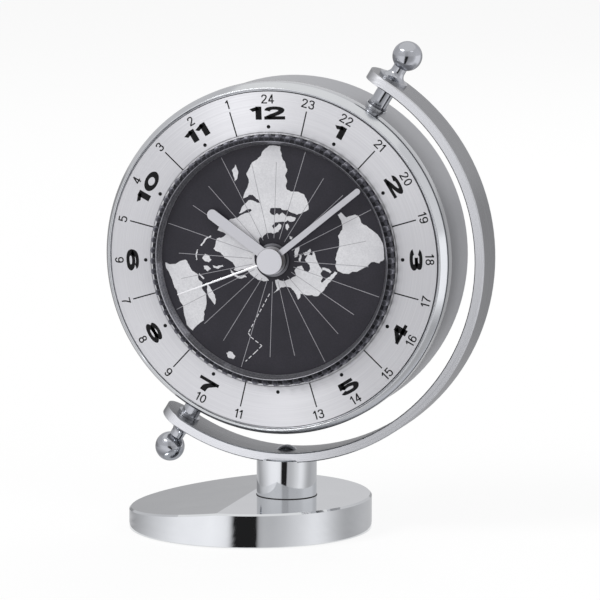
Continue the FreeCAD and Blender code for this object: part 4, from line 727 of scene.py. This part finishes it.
# Zone lines, every third one longer, and the date line's dashes
SPOKE_HALF, SPOKE_ROOT, SPOKE_TIP, LONG_TIP, FIRST_SPOKE = 0.09, 7.0, 31.5, 36.6, 4
tips = [LONG_TIP if k % 3 == 1 else SPOKE_TIP for k in range(24)]
spokes = [clock_points(flat_bar(SPOKE_HALF, SPOKE_ROOT, tip), 0.0, FIRST_SPOKE + 15 * k) for k, tip in enumerate(tips)]
DATE_LINE = ((-1.6, -10.9), (-9.2, -23.6), (-8.4, -24.9), (-4.8, -27.7), (-7.0, -29.8), (-10.4, -32.8))
DASH, DASH_STEP, DASH_HALF, LEAST_DASH = 1.2, 1.9, 0.13, 0.3
dashes = []
for start, end in zip(np.array(DATE_LINE), np.array(DATE_LINE[1:])):
    run = math.hypot(*(end - start))
    along = (end - start) / run
    side = np.array([-along[1], along[0]]) * DASH_HALF
    for at in np.arange(0.0, run - LEAST_DASH, DASH_STEP):
        a, b = start + along * at, start + along * min(at + DASH, run)
        dashes.append([a + side, a - side, b - side, b + side])
coasts = [coast(outline, seed) for seed, outline in enumerate(LAND)]
plates("map_land", coasts, MAP_LEVEL, MAP_LEVEL + SILVER_INK, "world_works", land_silver)
plates("map_zone_lines", spokes, MAP_LEVEL, MAP_LEVEL + INK, "world_works", line_grey)
plates("map_date_line", dashes, MAP_LEVEL, MAP_LEVEL + SILVER_INK, "world_works", land_silver)


# Studio
def pale_floor():
    """Matt white board. Camera and mirrors see it mostly as plain white, and the rest is its lit face and shadow."""
    made, tree, out = new_finish("studio_board_white")
    path = add(tree, "ShaderNodeLightPath").outputs
    seen = add(tree, "ShaderNodeMath", {0: path["Is Camera Ray"], 1: path["Is Glossy Ray"]}, operation="MAXIMUM")
    seen = add(tree, "ShaderNodeMath", {0: seen.outputs[0], 1: path["Is Transmission Ray"]}, operation="MAXIMUM")
    part = add(tree, "ShaderNodeMath", {0: seen.outputs[0], 1: 0.85}, operation="MULTIPLY").outputs[0]
    lit = add(tree, "ShaderNodeBsdfDiffuse", {"Color": linear("#fafafa")}).outputs[0]
    white = add(tree, "ShaderNodeEmission", {"Color": (1, 1, 1, 1), "Strength": 1.0}).outputs[0]
    both = add(tree, "ShaderNodeMixShader", {0: part, 1: lit, 2: white}).outputs[0]
    tree.links.new(both, out.inputs[0])
    return made


FLOOR_HALF = 6  # metres
floor_corners = [(-FLOOR_HALF, -FLOOR_HALF, 0), (FLOOR_HALF, -FLOOR_HALF, 0),
                 (FLOOR_HALF, FLOOR_HALF, 0), (-FLOOR_HALF, FLOOR_HALF, 0)]
mesh_object("floor", floor_corners, [(0, 1, 2, 3)], pale_floor())

# Tone of the studio's grey card by the angle of a polished wall that mirrors it, in degrees from the camera's side
CARD_TONES = (
    (-90, 0.6), (-82, 0.42), (-67, 0.58), (-59, 0.73), (-52, 0.86), (-45, 0.99), (-39, 1.12), (-32, 1.19), (-19, 1.22),
    (-13, 1.14), (-10.6, 1.05), (-9.2, 0.8), (-7.4, 0.02), (3.0, 0.02), (3.6, 0.3), (4.6, 0.55), (6.4, 0.63),
    (10.6, 0.64), (17, 0.74), (21, 0.84), (26, 0.95), (30, 1.07), (34, 1.09), (39, 0.96), (43, 0.78), (48, 0.62),
    (52, 0.54), (57, 0.52), (62, 0.57), (73, 0.62), (90, 0.6))
# The same for the card's far part, which only the head and arm mirror
HEAD_TONES = (
    (-90, 0.5), (-82, 0.34), (-62, 0.4), (-50, 0.66), (-38, 1.0), (-28, 1.15), (-13, 1.14), (-10.6, 1.0), (-9.2, 0.7),
    (-7.4, 0.03), (3.0, 0.03), (4.6, 0.5), (10.6, 0.6), (22, 0.66), (30, 0.9), (36, 1.3), (56, 1.3), (64, 0.7),
    (71, 0.46), (84, 0.44), (90, 0.5))
UPPER_TONE = 0.78  # what the tones fade to above head height
FAR_PART = 5  # where the card's far part begins, in radii of the base
CARD_REACH, CARD_LIFT = 1.3, 0.0004  # metres


def grey_card():
    """Graded grey card all round the clock, seen in mirrors alone, lying from the base outwards and then standing.

    A wall at angle w of a round base with radius b mirrors the floor point at angle a and distance r from the
    middle where a times r is w times (2 r - b), so each point takes the tone of w = a r / (2 r - b). Each row is
    (distance, height, share of the tones kept).
    """
    base_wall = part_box("base")[1][1]
    rows = [(base_wall * k, CARD_LIFT, 1.0) for k in (1.03, 1.2, 1.5, 2.0, 3.0, 4.5, 7.0, 12.0)]
    rows += [(CARD_REACH, z, share) for z, share in ((CARD_LIFT, 1.0), (0.16, 1.0), (0.24, 0.25), (1.3, 0.1))]
    around = np.linspace(-180, 180, 361)
    turn, n = np.radians(around) + CAMERA_AROUND, len(around)
    spots, tones = [], []
    for r, z, share in rows:
        spots.append(np.column_stack([np.sin(turn) * r, -np.cos(turn) * r, np.full(n, z)]))
        wall = around * r / (2 * r - base_wall)
        table = HEAD_TONES if r > FAR_PART * base_wall else CARD_TONES
        tones.append(UPPER_TONE + share * (np.interp(wall, *zip(*table)) - UPPER_TONE))
    i = np.arange(n - 1)
    faces = np.vstack([np.column_stack([i, i + 1, i + n + 1, i + n]) + k * n for k in range(len(rows) - 1)])
    finish, tree, out = new_finish("studio_card_graded")
    tone = add(tree, "ShaderNodeAttribute", attribute_name="tone").outputs["Fac"]
    glow = add(tree, "ShaderNodeEmission", {"Color": (0.98, 0.98, 1.0, 1), "Strength": tone}).outputs[0]
    tree.links.new(glow, out.inputs[0])
    made = mesh_object("grey_card", np.vstack(spots), faces.tolist(), finish)
    made.data.attributes.new("tone", "FLOAT", "POINT").data.foreach_set("value", np.concatenate(tones))
    made.visible_camera = made.visible_diffuse = made.visible_shadow = made.visible_transmission = False


grey_card()

# Sky: white to the camera, in glass and in mirrors, and a softer fill on matt surfaces
world = bpy.data.worlds.new("studio")
bpy.context.scene.world = world
world.use_nodes = True
tree = world.node_tree
tree.nodes.clear()
path = add(tree, "ShaderNodeLightPath").outputs
seen = add(tree, "ShaderNodeMath", {0: path["Is Camera Ray"], 1: path["Is Transmission Ray"]}, operation="MAXIMUM")
seen = add(tree, "ShaderNodeMath", {0: seen.outputs[0], 1: path["Is Glossy Ray"]}, operation="MAXIMUM")
level = add(tree, "ShaderNodeMapRange", {"Value": seen.outputs[0], "To Min": 0.62, "To Max": 1.0}).outputs[0]
sky = add(tree, "ShaderNodeBackground", {"Color": (1, 1, 1, 1), "Strength": level}).outputs[0]
add(tree, "ShaderNodeOutputWorld", {0: sky})


LAMP_AIM = Vector((0, 0, 0.08))


def soft_lamp(name, place, width, height, power):
    """Large soft box turned to LAMP_AIM, in metres."""
    lamp = bpy.data.lights.new(name, "AREA")
    lamp.shape = "RECTANGLE"
    lamp.size, lamp.size_y, lamp.energy = width, height, power
    made = bpy.data.objects.new(name, lamp)
    bpy.context.scene.collection.objects.link(made)
    made.location = place
    made.rotation_euler = (LAMP_AIM - Vector(place)).to_track_quat("-Z", "Y").to_euler()
    return made


soft_lamp("key", (-0.9, -1.1, 1.3), 0.9, 0.7, 14)
soft_lamp("fill", (1.2, -0.8, 0.7), 0.7, 0.9, 4)
soft_lamp("back", (0.2, 1.2, 1.0), 1.2, 0.6, 6).visible_glossy = False

lens = bpy.data.cameras.new("camera")
lens.sensor_width, lens.lens, lens.shift_x = SENSOR, FOCAL, SIDE_SHIFT
camera = bpy.data.objects.new("camera", lens)
bpy.context.scene.collection.objects.link(camera)
level_reach = math.cos(CAMERA_ABOVE)
back = np.array([level_reach * math.sin(CAMERA_AROUND), -level_reach * math.cos(CAMERA_AROUND), math.sin(CAMERA_ABOVE)])
camera.location = AIM + CAMERA_RANGE * back
camera.rotation_mode = "QUATERNION"
camera.rotation_quaternion = Vector(-back).to_track_quat("-Z", "Y") @ Quaternion((0, 0, 1), CAMERA_ROLL)
bpy.context.scene.camera = camera
bpy.context.scene.view_settings.view_transform = "Standard"
